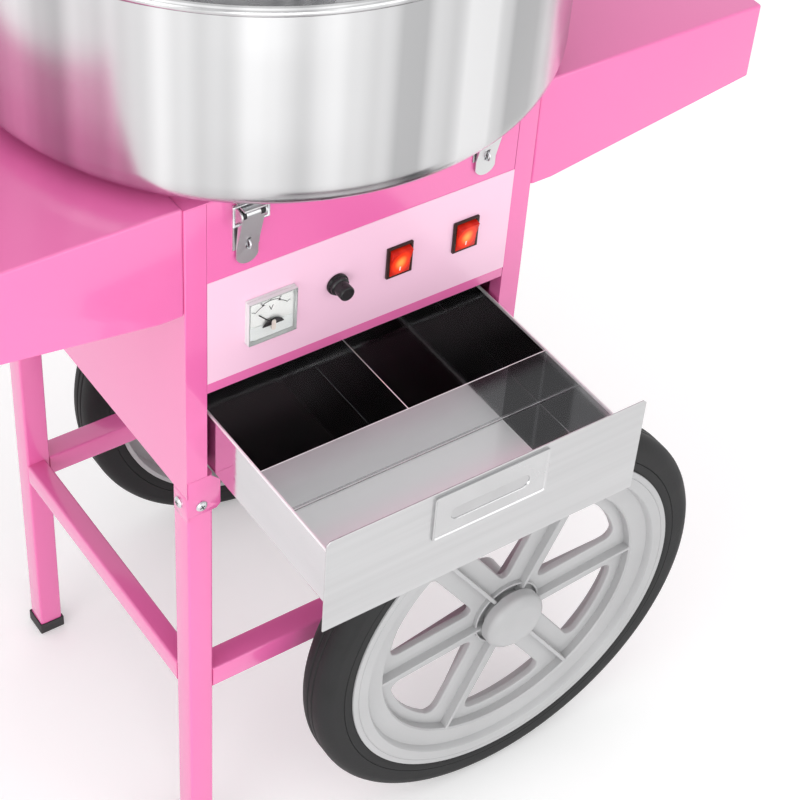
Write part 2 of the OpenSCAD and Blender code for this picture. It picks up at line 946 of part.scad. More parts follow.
// Raised pull plate with a finger cup behind its slot
module drawer_pull() {
  w = pull_w / 2;
  y = -plate_back - plate_t;
  color(steel) difference() {
    union() {
      block([-w, y - pull_t, pull_top - pull_h], [w, y, pull_top]);
      intersection() {
        finger_cup(cup_wall);
        block([-w, y - pull_t, pull_top - pull_h], [w, y + slot_depth + cut + cup_wall, pull_top]);
      }
    }
    finger_cup(0);
  }
}

// Meter: flange in front of the panel and a barrel through it, with the needle's bearing
module meter_body() {
  w = meter_w / 2;
  h = meter_h / 2;
  color("gainsboro") facing_front(meter_x, decal_face, meter_z) difference() {
    union() {
      block([-w, -h, 0], [w, h, meter_flange]);
      translate([0, 0, -meter_barrel]) cylinder(d = meter_barrel_d, h = meter_barrel + cut);
    }
    translate([0, -needle_drop, -meter_flange]) cylinder(r = needle_pin_r + run_gap, h = 3 * meter_flange);
  }
}

// Printed dial on the flange
module meter_dial() {
  w = meter_w / 2 - meter_bevel;
  h = meter_h / 2 - meter_bevel;
  color("white") facing_front(meter_x, decal_face + meter_flange, meter_z) difference() {
    block([-w, -h, 0], [w, h, dial_t]);
    translate([0, -needle_drop, -cut]) cylinder(r = needle_pin_r + fit_gap, h = dial_t + 2 * cut);
  }
}

// Clear cover with bevelled edges, hollow over the dial
module meter_cover() {
  w = meter_w / 2;
  h = meter_h / 2;
  b = meter_bevel;
  color([0.85, 0.9, 0.92, 0.4]) facing_front(meter_x, decal_face + meter_flange, meter_z) difference() {
    hull() {
      block([-w, -h, 0], [w, h, meter_cover - b]);
      block([b - w, b - h, 0], [w - b, h - b, meter_cover]);
    }
    block([meter_wall - w, meter_wall - h, -cut], [w - meter_wall, h - meter_wall, meter_cover - b]);
  }
}

// Needle on its pin, lying at the low end of the scale
module meter_needle() {
  color(black) facing_front(meter_x, decal_face + meter_flange, meter_z) translate([0, -needle_drop, 0]) {
    translate([0, 0, -meter_flange]) cylinder(r = needle_pin_r, h = meter_flange + needle_lift + needle_t);
    translate([0, 0, needle_lift]) rotate(needle_rest)
      block([0, -needle_w / 2, 0], [needle_len, needle_w / 2, needle_t]);
  }
}

// Potentiometer behind the panel, its threaded neck through it
module speed_pot() {
  color("dimgray") facing_front(knob_x, back_in, knob_z) difference() {
    union() {
      translate([0, 0, -pot_h]) cylinder(r = pot_r, h = pot_h);
      cylinder(r = pot_neck_r, h = pot_neck);
    }
    translate([0, 0, -pot_h / 2]) cylinder(r = pot_shaft_d / 2 + run_gap, h = pot_h + pot_neck);
  }
}

// Skirted knob on the potentiometer's shaft
module speed_knob() {
  color(black) facing_front(knob_x, decal_face + fit_gap, knob_z) {
    difference() {
      union() {
        cylinder(d = knob_skirt_d, h = knob_skirt);
        cylinder(d = knob_grip_d, h = knob_skirt + knob_grip);
      }
      translate([0, 0, -cut]) cylinder(r = pot_neck_r + fit_gap, h = pot_neck + cut);
    }
    translate([0, 0, pot_shaft_from])
      cylinder(d = pot_shaft_d, h = knob_skirt + pot_shaft_d / 2 - pot_shaft_from);
  }
}

// Switch: bezel in front of the decal, body behind it, and a well for the rocker
module switch_housing() {
  difference() {
    union() {
      block([-switch_w / 2, -switch_h / 2, 0], [switch_w / 2, switch_h / 2, bezel_t]);
      block([-switch_body_w / 2, -switch_body_h / 2, -switch_depth],
            [switch_body_w / 2, switch_body_h / 2, cut]);
    }
    block([-well_w / 2, -well_h / 2, bezel_t - well_depth], [well_w / 2, well_h / 2, bezel_t + cut]);
    translate([-rocker_w / 2 - rocker_pin - fit_gap, 0, bezel_t - rocker_depth]) rotate([0, 90, 0])
      cylinder(r = rocker_pin_r + run_gap, h = rocker_w + 2 * (rocker_pin + fit_gap));
  }
}

module switch_housings() {
  color([0.14, 0.09, 0.08])
    for (x = [switch_x, switch_x + switch_pitch]) facing_front(x, decal_face, switch_z) switch_housing();
}

// Rocker pressed at its lower half, on pins in the housing's walls
module rocker() {
  front = rocker_end + rocker_depth;
  dip = rocker_mid + rocker_depth;
  outline = [
    [-rocker_half, front], [0, dip], [rocker_half, front],
    [rocker_half, 0], [0, -rocker_back], [-rocker_half, 0]
  ];
  translate([0, 0, bezel_t - rocker_depth]) rotate([rocker_tilt, 0, 0]) {
    translate([-rocker_w / 2, 0, 0]) rotate([90, 0, 90]) linear_extrude(rocker_w) polygon(outline);
    translate([-rocker_w / 2 - rocker_pin, 0, 0]) rotate([0, 90, 0])
      cylinder(r = rocker_pin_r, h = rocker_w + 2 * rocker_pin);
  }
}

module left_rocker() {
  color([0.85, 0.15, 0.05]) facing_front(switch_x, decal_face, switch_z) rocker();
}

module right_rocker() {
  color([0.85, 0.15, 0.05]) facing_front(switch_x + switch_pitch, decal_face, switch_z) rocker();
}

// Children at a latch, with Y as the distance in front of the panel, on the right
module at_latch() {
  translate([latch_x, -half_d, 0]) mirror([0, 1, 0]) children();
}

// An outline of distance in front of the panel and height, drawn across from one side to the other
module across(from, to) {
  translate([from, 0, 0]) rotate([90, 0, 90]) linear_extrude(to - from) children();
}

// Latch base with two ears that hold the lever's pin
module latch_base() {
  ear_from = lever_w / 2 + ear_gap;
  ear = [
    [0, latch_z - ear_low], [ear_back, latch_z - ear_low], [latch_v, latch_z - ear_r],
    [latch_v, latch_z + ear_r], [ear_back, latch_z + base_up], [0, latch_z + base_up]
  ];
  difference() {
    union() {
      block([-base_half, 0, latch_z - base_down], [base_half, base_t, latch_z + base_up]);
      both_x() {
        across(ear_from, ear_from + ear_t) polygon(ear);
        translate([ear_from, latch_v, latch_z]) rotate([0, 90, 0]) cylinder(r = ear_r, h = ear_t);
      }
    }
    translate([-base_half - cut, latch_v, latch_z]) rotate([0, 90, 0])
      cylinder(d = latch_pin_d + 2 * run_gap, h = 2 * (base_half + cut));
  }
}

module latch_bases() {
  color(steel) both_x() at_latch() latch_base();
}

// Lever on its pin: barrel, a face that slopes in to the crease, side flanges and a round tab
module latch_lever() {
  w = lever_w / 2;
  pin = w + ear_gap + ear_t;
  out = latch_v + lever_lift;
  low = latch_z - lever_len;
  crease = latch_z - lever_crease;
  near = lever_near + lever_t;
  back = bail_v - lever_barrel_r;
  face = [[out, latch_z], [near, crease], [lever_near, crease], [out - lever_t, latch_z]];
  flange = [
    [out, latch_z], [near, crease], [lever_near, crease], [back, bail_low - lever_barrel_r], [back, latch_z]
  ];
  difference() {
    union() {
      translate([-pin, latch_v, latch_z]) rotate([0, 90, 0]) cylinder(d = latch_pin_d, h = 2 * pin);
      translate([-w, latch_v, latch_z]) rotate([0, 90, 0]) cylinder(r = lever_barrel_r, h = 2 * w);
      across(-w, w) polygon(face);
      both_x() across(w - lever_flange, w) polygon(flange);
      block([-w, lever_near, low + lever_tip], [w, near, crease]);
      translate([0, lever_near, low + lever_tip]) rotate([-90, 0, 0]) cylinder(r = lever_tip, h = lever_t);
    }
    translate([-w - cut, bail_v, bail_low]) rotate([0, 90, 0])
      cylinder(d = bail_d + 2 * run_gap, h = 2 * (w + cut));
    both_x() block([w, lever_near - cut, low - cut], [2 * w, near + cut, crease]);
    block([-eye_half, lever_near - cut, crease - cut], [eye_half, latch_v - cut, crease - cut + eye_slot]);
  }
}

module left_latch_lever() {
  color(steel) mirror([1, 0, 0]) at_latch() latch_lever();
}

module right_latch_lever() {
  color(steel) at_latch() latch_lever();
}

// Wire bail from the lever up over the bowl's catch
module latch_bail() {
  r = bail_d / 2;
  pin_in = lever_w / 2 - lever_flange;
  both_x() {
    translate([bail_x, bail_v, bail_low]) cylinder(r = r, h = bail_len);
    translate([pin_in, bail_v, bail_low]) rotate([0, 90, 0]) cylinder(r = r, h = bail_x - pin_in);
    for (z = [bail_low, bail_top]) translate([bail_x, bail_v, z]) sphere(r = bail_corner_r);
  }
  translate([-bail_x, bail_v, bail_top]) rotate([0, 90, 0]) cylinder(r = r, h = 2 * bail_x);
}

module left_latch_bail() {
  color("dimgray") mirror([1, 0, 0]) at_latch() latch_bail();
}

module right_latch_bail() {
  color("dimgray") at_latch() latch_bail();
}

// Hooks under the bowl that the bails pull down
module bowl_catches() {
  low = catch_ledge - catch_t;
  color(steel) both_x() at_latch() {
    block([-catch_half, catch_off, low], [catch_half, catch_off + catch_t, bowl_low]);
    block([-catch_half, catch_off, low], [catch_half, catch_reach, catch_ledge]);
    block([-catch_half, catch_reach - catch_t, low], [catch_half, catch_reach, catch_ledge + catch_lip]);
  }
}

// Solid of revolution of a pan: flat bottom, rounded lower edge, straight wall
module pan_section(r, h, f) {
  square([r - f, h]);
  translate([0, f]) square([r, h - f]);
  intersection() {
    translate([r - f, f]) circle(r = f);
    square([r, h]);
  }
}

// Spun bowl with a rolled top edge and a hole for the bearing housing
module bowl() {
  color(steel) translate([0, 0, bowl_low]) rotate_extrude() {
    difference() {
      pan_section(bowl_r, bowl_h - bead_r, bowl_fillet);
      translate([0, bowl_wall]) pan_section(bowl_r - bowl_wall, bowl_h, bowl_fillet - bowl_wall);
      square([housing_r + fit_gap, seat_h]);
    }
    translate([bowl_r, bowl_h - bead_r]) circle(r = bead_r);
  }
}

// Rubber ring between the deck and the bowl
module bowl_seat() {
  color(black) translate([0, 0, deck_top]) difference() {
    cylinder(r = seat_r, h = seat_h);
    translate([0, 0, -cut]) cylinder(r = seat_r - seat_w, h = seat_h + 2 * cut);
  }
}

// Flanged housing hung under the deck, its neck standing up through the bowl
module bearing_housing() {
  color("silver") difference() {
    union() {
      translate([0, 0, housing_low]) cylinder(r = housing_r, h = housing_top - housing_low);
      translate([0, 0, deck_under - flange_t]) cylinder(r = flange_r, h = flange_t);
    }
    translate([0, 0, housing_low - cut])
      cylinder(r = bearing_r + run_gap, h = housing_top - housing_low + 2 * cut);
  }
}

module spindle_bearings() {
  color("gray") for (z = [housing_low + bearing_in, housing_top - bearing_in - bearing_h])
    translate([0, 0, z]) difference() {
      cylinder(r = bearing_r, h = bearing_h);
      translate([0, 0, -cut]) cylinder(r = spindle_d / 2 + run_gap, h = bearing_h + 2 * cut);
    }
}

module spindle() {
  color(steel) translate([0, 0, spindle_low]) cylinder(d = spindle_d, h = spindle_top - spindle_low);
}

// Half section of a grooved pulley
module pulley(r, bore) {
  edge = (pulley_h - belt_h) / 2 - cut;
  difference() {
    cylinder(r = r, h = pulley_h);
    translate([0, 0, -cut]) cylinder(r = bore, h = pulley_h + 2 * cut);
    translate([0, 0, edge]) difference() {
      cylinder(r = r + cut, h = pulley_h - 2 * edge);
      translate([0, 0, -cut]) cylinder(r = r - groove, h = pulley_h);
    }
  }
}

module spindle_pulley() {
  color("silver") translate([0, 0, pulley_z]) pulley(pulley_r, spindle_d / 2 + run_gap);
}

// Insulating sleeve on the spindle with two contact rings
module slip_rings() {
  color("peru") {
    translate([0, 0, slip_low]) difference() {
      cylinder(r = slip_r, h = slip_h);
      translate([0, 0, -cut]) cylinder(r = spindle_d / 2 + run_gap, h = slip_h + 2 * cut);
    }
    for (i = [0, 1]) translate([0, 0, ring_low + i * ring_pitch]) difference() {
      cylinder(r = ring_r, h = ring_h);
      translate([0, 0, -cut]) cylinder(r = slip_r + run_gap, h = ring_h + 2 * cut);
    }
  }
}

// Brushes that press on the rings, in a holder standing on the machine floor
module brush_gear() {
  x = ring_r + fit_gap;
  color("dimgray") {
    block([x + brush_len, -holder_w / 2, floor_top],
          [x + brush_len + holder_d, holder_w / 2, slip_low + slip_h]);
    for (i = [0, 1]) translate([0, 0, ring_low + i * ring_pitch + ring_h / 2])
      block([x, -brush_w / 2, -brush_w / 2], [x + brush_len, brush_w / 2, brush_w / 2]);
  }
}

// Spun dish and band that throw the sugar, on a boss on the spindle
module spinner_head() {
  color(steel) difference() {
    union() {
      translate([0, 0, head_low - head_boss_h]) cylinder(r = head_boss_r, h = head_boss_h);
      translate([0, 0, head_low]) difference() {
        cylinder(r = head_r, h = head_h + head_t);
        translate([0, 0, head_t]) cylinder(r = head_r - head_t, h = head_h + cut);
      }
    }
    translate([0, 0, head_low - head_boss_h - cut])
      cylinder(r = spindle_d / 2 + run_gap, h = head_boss_h + head_t + 2 * cut);
  }
}

// Heating element on three short posts
module heater_ring() {
  z = head_low + head_t;
  color("darkgray") {
    translate([0, 0, z + heater_lift]) rotate_extrude() translate([heater_r, 0]) circle(r = heater_wire_r);
    for (a = [0, 120, 240]) rotate(a) translate([heater_r, 0, z])
      cylinder(r = heater_post_r, h = heater_lift);
  }
}

// Ring cover on the band, with a turned-down lip round the sugar opening
module head_cap() {
  z = head_low + head_t + head_h;
  color(steel) translate([0, 0, z]) rotate_extrude() {
    translate([cap_hole_r, 0]) square([head_r - cap_hole_r, head_t]);
    translate([cap_hole_r, -cap_lip]) square([head_t, cap_lip + head_t]);
  }
}

// Motor standing on the machine floor behind the spindle
module motor() {
  high = floor_top + motor_h;
  color([0.2, 0.22, 0.25]) translate([0, motor_y, 0]) difference() {
    translate([0, 0, floor_top]) cylinder(r = motor_r, h = motor_h);
    translate([0, 0, high - motor_h / 2]) cylinder(r = motor_shaft_r + run_gap, h = motor_h);
  }
}

// Pulley and shaft of the motor
module motor_pulley() {
  low = floor_top + motor_h / 2 + cut;
  color("silver") translate([0, motor_y, 0]) {
    translate([0, 0, pulley_z]) pulley(motor_pulley_r, motor_shaft_r);
    translate([0, 0, low]) cylinder(r = motor_shaft_r, h = pulley_z + pulley_h - low);
  }
}

// Outline of the belt round both pulleys at a distance from their grooves
module belt_loop(out) {
  hull() {
    circle(r = pulley_r - groove + out);
    translate([0, motor_y]) circle(r = motor_pulley_r - groove + out);
  }
}

module drive_belt() {
  color(black) translate([0, 0, pulley_z + (pulley_h - belt_h) / 2]) linear_extrude(belt_h) difference() {
    belt_loop(fit_gap + belt_t);
    belt_loop(fit_gap);
  }
}

// Cable gland in the back panel
module cable_gland() {
  color(black) translate([gland_x, half_d, gland_z]) rotate([-90, 0, 0]) {
    translate([0, 0, -gland_len]) cylinder(r = gland_r, h = gland_len);
    cylinder(r = gland_hex_r, h = gland_len / 2, $fn = 6);
    cylinder(r = gland_r, h = gland_len);
  }
}

// Everything moved so that the whole box is centred over the origin
module place() {
  translate(-middle) children();
}

place() left_side_panel();
place() right_side_panel();
place() front_panel();
place() back_panel();
place() deck();
place() machine_floor();
place() control_decal();
place() drawer_runners();
place() left_shelf();
place() right_shelf();
place() left_legs();
place() right_legs();
place() lower_rails();
place() corner_brackets();
place() frame_bolts();
place() leg_feet();
place() axle();
place() axle_washers();
place() front_wheel();
place() front_tyre();
place() front_hub_cap();
place() back_wheel();
place() back_tyre();
place() back_hub_cap();
place() push_handle();
place() handle_grip();
place() drawer_box();
place() drawer_dividers();
place() drawer_front();
place() drawer_pull();
place() meter_body();
place() meter_dial();
place() meter_cover();
place() meter_needle();
place() speed_pot();
place() speed_knob();
place() switch_housings();
place() left_rocker();
place() right_rocker();
place() latch_bases();
place() left_latch_lever();
place() right_latch_lever();
place() left_latch_bail();
place() right_latch_bail();
place() bowl_catches();
place() bowl();
place() bowl_seat();
place() bearing_housing();
place() spindle_bearings();
place() spindle();
place() spindle_pulley();
place() slip_rings();
place() brush_gear();
place() spinner_head();
place() heater_ring();
place() head_cap();
place() motor();
place() motor_pulley();
place() drive_belt();
place() cable_gland();
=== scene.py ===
import math

import bmesh
import bpy
from mathutils import Matrix, Vector


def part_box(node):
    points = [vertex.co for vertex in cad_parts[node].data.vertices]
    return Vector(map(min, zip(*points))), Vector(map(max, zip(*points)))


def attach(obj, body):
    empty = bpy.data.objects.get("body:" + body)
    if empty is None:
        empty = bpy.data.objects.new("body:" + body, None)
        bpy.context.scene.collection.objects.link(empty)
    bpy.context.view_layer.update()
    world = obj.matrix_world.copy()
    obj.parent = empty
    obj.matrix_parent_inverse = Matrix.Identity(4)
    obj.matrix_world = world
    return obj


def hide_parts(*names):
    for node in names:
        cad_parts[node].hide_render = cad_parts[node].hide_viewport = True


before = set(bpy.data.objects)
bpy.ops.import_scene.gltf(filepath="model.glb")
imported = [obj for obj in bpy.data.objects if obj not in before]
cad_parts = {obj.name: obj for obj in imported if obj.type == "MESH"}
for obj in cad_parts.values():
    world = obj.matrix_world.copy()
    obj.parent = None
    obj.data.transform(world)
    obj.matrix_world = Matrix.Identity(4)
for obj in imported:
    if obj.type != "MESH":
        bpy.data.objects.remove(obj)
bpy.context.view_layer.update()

# Legs: four upright square steel tubes with rolled corners, powder coated gloss pink. The left
# pair stands on rubber feet, the right pair stops below the axle and is open at the bottom.
deck_low, deck_high = (Vector(c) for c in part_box("deck"))
mid = (deck_low + deck_high) / 2


def at(x, y, z):
    """A point given in millimetres from the middle of the cabinet and from the floor."""
    return Vector((mid.x + x / 1000, mid.y + y / 1000, z / 1000))


def brick(bm, low, high):
    """A box between two corners."""
    place = Matrix.LocRotScale((low + high) / 2, None, high - low)
    return bmesh.ops.create_cube(bm, size=1, matrix=place)["verts"]


def edges_along(verts, axis):
    """The edges of these vertices that run along one axis."""
    found = {e for v in verts for e in v.link_edges}
    return [e for e in found if abs((e.verts[1].co - e.verts[0].co).normalized()[axis]) > 0.99]


def ease(bm, edges, radius, segments=2):
    """Rounds edges by a radius in metres."""
    bmesh.ops.bevel(bm, geom=list(edges), offset=radius, offset_type="OFFSET", segments=segments,
                    profile=0.5, affect="EDGES", clamp_overlap=True, material=-1)


def sharp(bm, degrees=35):
    """The edges where two faces meet at more than an angle."""
    return [e for e in bm.edges if len(e.link_faces) == 2 and e.calc_face_angle() > math.radians(degrees)]


def piece(name, bm, coat, body, *nodes, smooth=38):
    """Makes the mesh an object that rides on a body and stands for its solids."""
    bmesh.ops.remove_doubles(bm, verts=bm.verts, dist=1e-6)
    bmesh.ops.recalc_face_normals(bm, faces=bm.faces)
    mesh = bpy.data.meshes.new(name)
    bm.to_mesh(mesh)
    bm.free()
    mesh.materials.append(coat)
    mesh.shade_smooth()
    mesh.set_sharp_from_angle(angle=math.radians(smooth))
    made = bpy.data.objects.new(name, mesh)
    bpy.context.scene.collection.objects.link(made)
    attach(made, body)
    if nodes:
        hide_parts(*nodes)
    return made


def finish(name, low, high, metal, rough, broad, fine, relief, stretch=(1, 1, 1), **sockets):
    """A coat of two close tones whose roughness follows a broad noise and whose relief a fine one."""
    coat = bpy.data.materials.new(name)
    coat.use_nodes = True
    tree = coat.node_tree
    shader = tree.nodes["Principled BSDF"]
    shader.inputs["Metallic"].default_value = metal
    for socket, value in sockets.items():
        shader.inputs[socket.replace("_", " ")].default_value = value
    coords = tree.nodes.new("ShaderNodeTexCoord")
    turn = tree.nodes.new("ShaderNodeMapping")
    turn.inputs["Scale"].default_value = stretch
    tree.links.new(coords.outputs["Object"], turn.inputs["Vector"])
    cloud = tree.nodes.new("ShaderNodeTexNoise")
    cloud.inputs["Scale"].default_value = broad
    cloud.inputs["Detail"].default_value = 4
    tree.links.new(turn.outputs["Vector"], cloud.inputs["Vector"])
    least, most = 0.3, 0.7  # where nearly all of a noise's values lie
    tones = tree.nodes.new("ShaderNodeValToRGB")
    tones.color_ramp.elements[0].position = least
    tones.color_ramp.elements[0].color = (*low, 1)
    tones.color_ramp.elements[1].position = most
    tones.color_ramp.elements[1].color = (*high, 1)
    tree.links.new(cloud.outputs["Fac"], tones.inputs["Fac"])
    tree.links.new(tones.outputs["Color"], shader.inputs["Base Color"])
    spread = tree.nodes.new("ShaderNodeMapRange")
    spread.inputs["From Min"].default_value = least
    spread.inputs["From Max"].default_value = most
    spread.inputs["To Min"].default_value = rough[0]
    spread.inputs["To Max"].default_value = rough[1]
    tree.links.new(cloud.outputs["Fac"], spread.inputs["Value"])
    tree.links.new(spread.outputs["Result"], shader.inputs["Roughness"])
    grit = tree.nodes.new("ShaderNodeTexNoise")
    grit.inputs["Scale"].default_value = fine
    grit.inputs["Detail"].default_value = 3
    tree.links.new(turn.outputs["Vector"], grit.inputs["Vector"])
    bump = tree.nodes.new("ShaderNodeBump")
    bump.inputs["Strength"].default_value = 0.35
    bump.inputs["Distance"].default_value = relief
    tree.links.new(grit.outputs["Fac"], bump.inputs["Height"])
    tree.links.new(bump.outputs["Normal"], shader.inputs["Normal"])
    return coat


pink_paint = finish("pink_powder_coat", (0.82, 0.15, 0.415), (0.84, 0.165, 0.435), 0, (0.24, 0.28), 3, 420,
                    0.00012, Coat_Weight=0.8, Coat_Roughness=0.1)
tube_half, tube_wall, tube_corner, bore_depth = 12.5, 0.0015, 0.0024, 0.03
leg_x, leg_y, leg_top = 156, 164, 521.4


def rounded_bar(bm, low, high, axis, radius, segments):
    """A box between two corners, with the edges along one axis rounded."""
    ease(bm, edges_along(brick(bm, low, high), axis), radius, segments)


def leg(bm, x, y, low, high):
    """One tube with rolled corners and an open lower end."""
    rounded_bar(bm, at(x - tube_half, y - tube_half, low), at(x + tube_half, y + tube_half, high), 2,
                tube_corner, 4)
    foot = at(x, y, low)
    below = [f for f in bm.faces if f.normal.z < -0.9 and (f.calc_center_median() - foot).length < 0.01]
    end = min(below, key=lambda f: f.calc_center_median().z)
    bmesh.ops.inset_region(bm, faces=[end], thickness=tube_wall)
    hole = bmesh.ops.extrude_discrete_faces(bm, faces=[end])["faces"]
    bmesh.ops.translate(bm, verts=hole[0].verts, vec=(0, 0, bore_depth))


for side, node, low in ((-1, "left_legs", 5), (1, "right_legs", 206)):
    bm = bmesh.new()
    for y in (-leg_y, leg_y):
        leg(bm, side * leg_x, y, low, leg_top)
    piece(node + "_tubes", bm, pink_paint, "cart", node)

# Lower rails: the same tube welded between the legs along the front and back, with a narrower
# rectangular tube at each end, coated together with the legs.
rail_low, rail_high, end_rail_in, end_rail_out = 235.5, 260.5, 148.5, 168.5
rail_x, rail_y = leg_x - tube_half, leg_y - tube_half
bm = bmesh.new()
for y in (-leg_y, leg_y):
    rounded_bar(bm, at(-rail_x, y - tube_half, rail_low), at(rail_x, y + tube_half, rail_high), 0,
                tube_corner, 4)
for side in (-1, 1):
    low, high = sorted((side * end_rail_in, side * end_rail_out))
    rounded_bar(bm, at(low, -rail_y, rail_low), at(high, rail_y, rail_high), 1, tube_corner, 4)
piece("rail_tubes", bm, pink_paint, "cart", "lower_rails")

# Feet: black rubber cups, each moulded in one piece and pushed over the lower end of a left leg,
# so that the cart stands firm at that end.
rubber = finish("black_rubber", (0.018, 0.018, 0.018), (0.03, 0.03, 0.031), 0, (0.55, 0.7), 40, 900, 0.0002)


def copied(node):
    """A welded copy of a solid's mesh, with its flat faces whole."""
    bm = bmesh.new()
    bm.from_mesh(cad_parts[node].data)
    bmesh.ops.remove_doubles(bm, verts=bm.verts, dist=1e-6)
    bmesh.ops.dissolve_limit(bm, angle_limit=math.radians(0.5), verts=bm.verts, edges=bm.edges)
    return bm


def eased(node, coat, body, radius, segments=2, smooth=38):
    """A solid with its sharp edges broken, in a better coat."""
    bm = copied(node)
    ease(bm, sharp(bm), radius, segments)
    made = piece(node + "_eased", bm, coat, body, node, smooth=smooth)
    return made


eased("leg_feet", rubber, "cart", 0.0012, 3)

# Corner brackets: pressed angles that join the legs to the cabinet, coated pink, each held by
# zinc-plated pan-head bolts with a cross recess, whose darkness is a near-black inlay of painted shade.
eased("corner_brackets", pink_paint, "cart", 0.0004, 2)
zinc = finish("zinc_plate", (0.56, 0.57, 0.6), (0.72, 0.72, 0.73), 1, (0.2, 0.34), 220, 1500, 0.00004)
# A near-black coat laid over each bolt head as its cross recess: painted shade.
cross_shade_coat = finish("bolt_cross_painted_shade", (0.05, 0.05, 0.055), (0.09, 0.09, 0.095), 0.6, (0.4, 0.55), 300, 1500, 0.00003)


def lathe(bm, outline, steps=64, close=True):
    """Turns points of radius and height, in millimetres, round the Z axis."""
    verts = [bm.verts.new((r / 1000, 0, z / 1000)) for r, z in outline]
    edges = [bm.edges.new(pair) for pair in zip(verts, verts[1:])]
    if close:
        edges.append(bm.edges.new((verts[-1], verts[0])))
    bmesh.ops.spin(bm, geom=verts + edges, cent=(0, 0, 0), axis=(0, 0, 1), angle=math.tau, steps=steps,
                   use_merge=True)
    bmesh.ops.remove_doubles(bm, verts=bm.verts, dist=1e-7)


def bolt_frame(point, outward):
    """A frame at a point whose Z axis points outwards."""
    return Matrix.Translation(point) @ Vector(outward).to_track_quat("Z", "Y").to_matrix().to_4x4()


half_width, half_depth, bolt_z = 170, 178, 489
bolts = []
for x in (-1, 1):
    for y in (-1, 1):
        bolts.append(bolt_frame(at(x * leg_x, y * half_depth, bolt_z), (0, y, 0)))
        bolts.append(bolt_frame(at(x * half_width, y * leg_y, bolt_z), (x, 0, 0)))


def join(bm, part, place=Matrix()):
    """Adds a finished part to a mesh at a place."""
    spare = bpy.data.meshes.new("spare")
    part.to_mesh(spare)
    spare.transform(place)
    bm.from_mesh(spare)
    bpy.data.meshes.remove(spare)


head, cross = bmesh.new(), bmesh.new()
lathe(head, [(0, -8.8), (3, -8.8), (3, 0), (5.5, 0), (5.5, 0.9), (4.6, 1.9), (3.2, 2.4), (0, 2.5)], 32, False)
cross_turn, arm_reach, arm_half, arm_low, arm_top = 0.4, 0.0027, 0.00055, 0.0022, 0.00258
for turn in (cross_turn, cross_turn + math.pi / 2):
    arm = brick(cross, Vector((-arm_reach, -arm_half, arm_low)), Vector((arm_reach, arm_half, arm_top)))
    bmesh.ops.rotate(cross, verts=arm, cent=(0, 0, 0), matrix=Matrix.Rotation(turn, 3, "Z"))
heads, crosses = bmesh.new(), bmesh.new()
for place in bolts:
    join(heads, head, place)
    join(crosses, cross, place)
head.free()
cross.free()
piece("bolt_heads", heads, zinc, "cart", "frame_bolts")
piece("bolt_cross_shade_inlay", crosses, cross_shade_coat, "cart")

# Side panels: 1.2 mm sheet folded round both upright edges into the corner posts, which are folded
# in once more beside the drawer. The folds keep an outside radius of about two millimetres.


def sheet_piece(name, bm, coat, body, *nodes, thick=0.0012, smooth=38):
    """A folded sheet: its outer skin gets its thickness inwards and a broken edge."""
    made = piece(name, bm, coat, body, *nodes, smooth=smooth)
    wall = made.modifiers.new("wall", "SOLIDIFY")
    wall.thickness = thick
    wall.offset = -1
    wall.use_even_offset = True
    edge = made.modifiers.new("edge", "BEVEL")
    edge.width = thick * 0.25
    edge.segments = 2
    edge.limit_method = "ANGLE"
    edge.angle_limit = math.radians(60)
    edge.harden_normals = True
    return made


panel_low, panel_top, post_x, fold_depth, bend = 503, 812.8, 150, 15, 0.0022
post_heights = (522, 616.9, panel_top)
web_outline = [(-half_depth, panel_low), (half_depth, panel_low)]
web_outline += [(half_depth, z) for z in post_heights] + [(-half_depth, z) for z in reversed(post_heights)]
for side, node in ((-1, "left_side_panel"), (1, "right_side_panel")):
    bm = bmesh.new()
    web = [bm.verts.new(at(side * half_width, y, z)) for y, z in web_outline]
    bm.faces.new(web)
    folds = []
    for low, mark, high, y in ((web[7], web[6], web[5], -half_depth), (web[2], web[3], web[4], half_depth)):
        edge = [bm.verts.new(at(side * post_x, y, z)) for z in post_heights]
        inner_y = y - math.copysign(fold_depth, y)
        fold = [bm.verts.new(at(side * post_x, inner_y, z)) for z in post_heights[:2]]
        bm.faces.new((low, mark, edge[1], edge[0]))
        bm.faces.new((mark, high, edge[2], edge[1]))
        bm.faces.new((edge[0], edge[1], fold[1], fold[0]))
        folds += [bm.edges.get(pair) for pair in ((low, mark), (mark, high))]
    ease(bm, folds, bend, 4)
    sheet_piece(node + "_sheet", bm, pink_paint, "cart", node)

# Front panel: a sheet set between the posts, its lower edge folded in as a lip. The back panel
# and the deck are plain sheets screwed on, all in the same coat.
panel_x, lip_z, lip_y = 149.7, 616, fold_depth - half_depth
bm = bmesh.new()
corners = ((-panel_x, lip_z), (panel_x, lip_z), (panel_x, panel_top), (-panel_x, panel_top))
face = [bm.verts.new(at(x, -half_depth, z)) for x, z in corners]
bm.faces.new(face)
lip = [bm.verts.new(at(x, lip_y, lip_z)) for x in (-panel_x, panel_x)]
bm.faces.new((face[1], face[0], *lip))
ease(bm, [bm.edges.get(face[:2])], bend, 4)
sheet_piece("front_panel_sheet", bm, pink_paint, "cart", "front_panel")
eased("back_panel", pink_paint, "cart", 0.0003, 2)
eased("deck", pink_paint, "cart", 0.0003, 2)

# Inside the cabinet: a steel floor sheet under the machine, coloured nearly black as painted shade so that
# the cabinet's inside reads dark, and two zinc-plated angles on the side panels that carry the drawer.
cabinet_shade_coat = finish("cabinet_painted_shade", (0.012, 0.011, 0.012), (0.02, 0.018, 0.019), 0, (0.5, 0.7), 12, 500, 0.0001)


def dress(coat, *nodes):
    """Gives a solid that shows as it is a better coat."""
    for node in nodes:
        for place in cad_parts[node].material_slots:
            place.material = coat


dress(cabinet_shade_coat, "machine_floor")
dress(zinc, "drawer_runners")

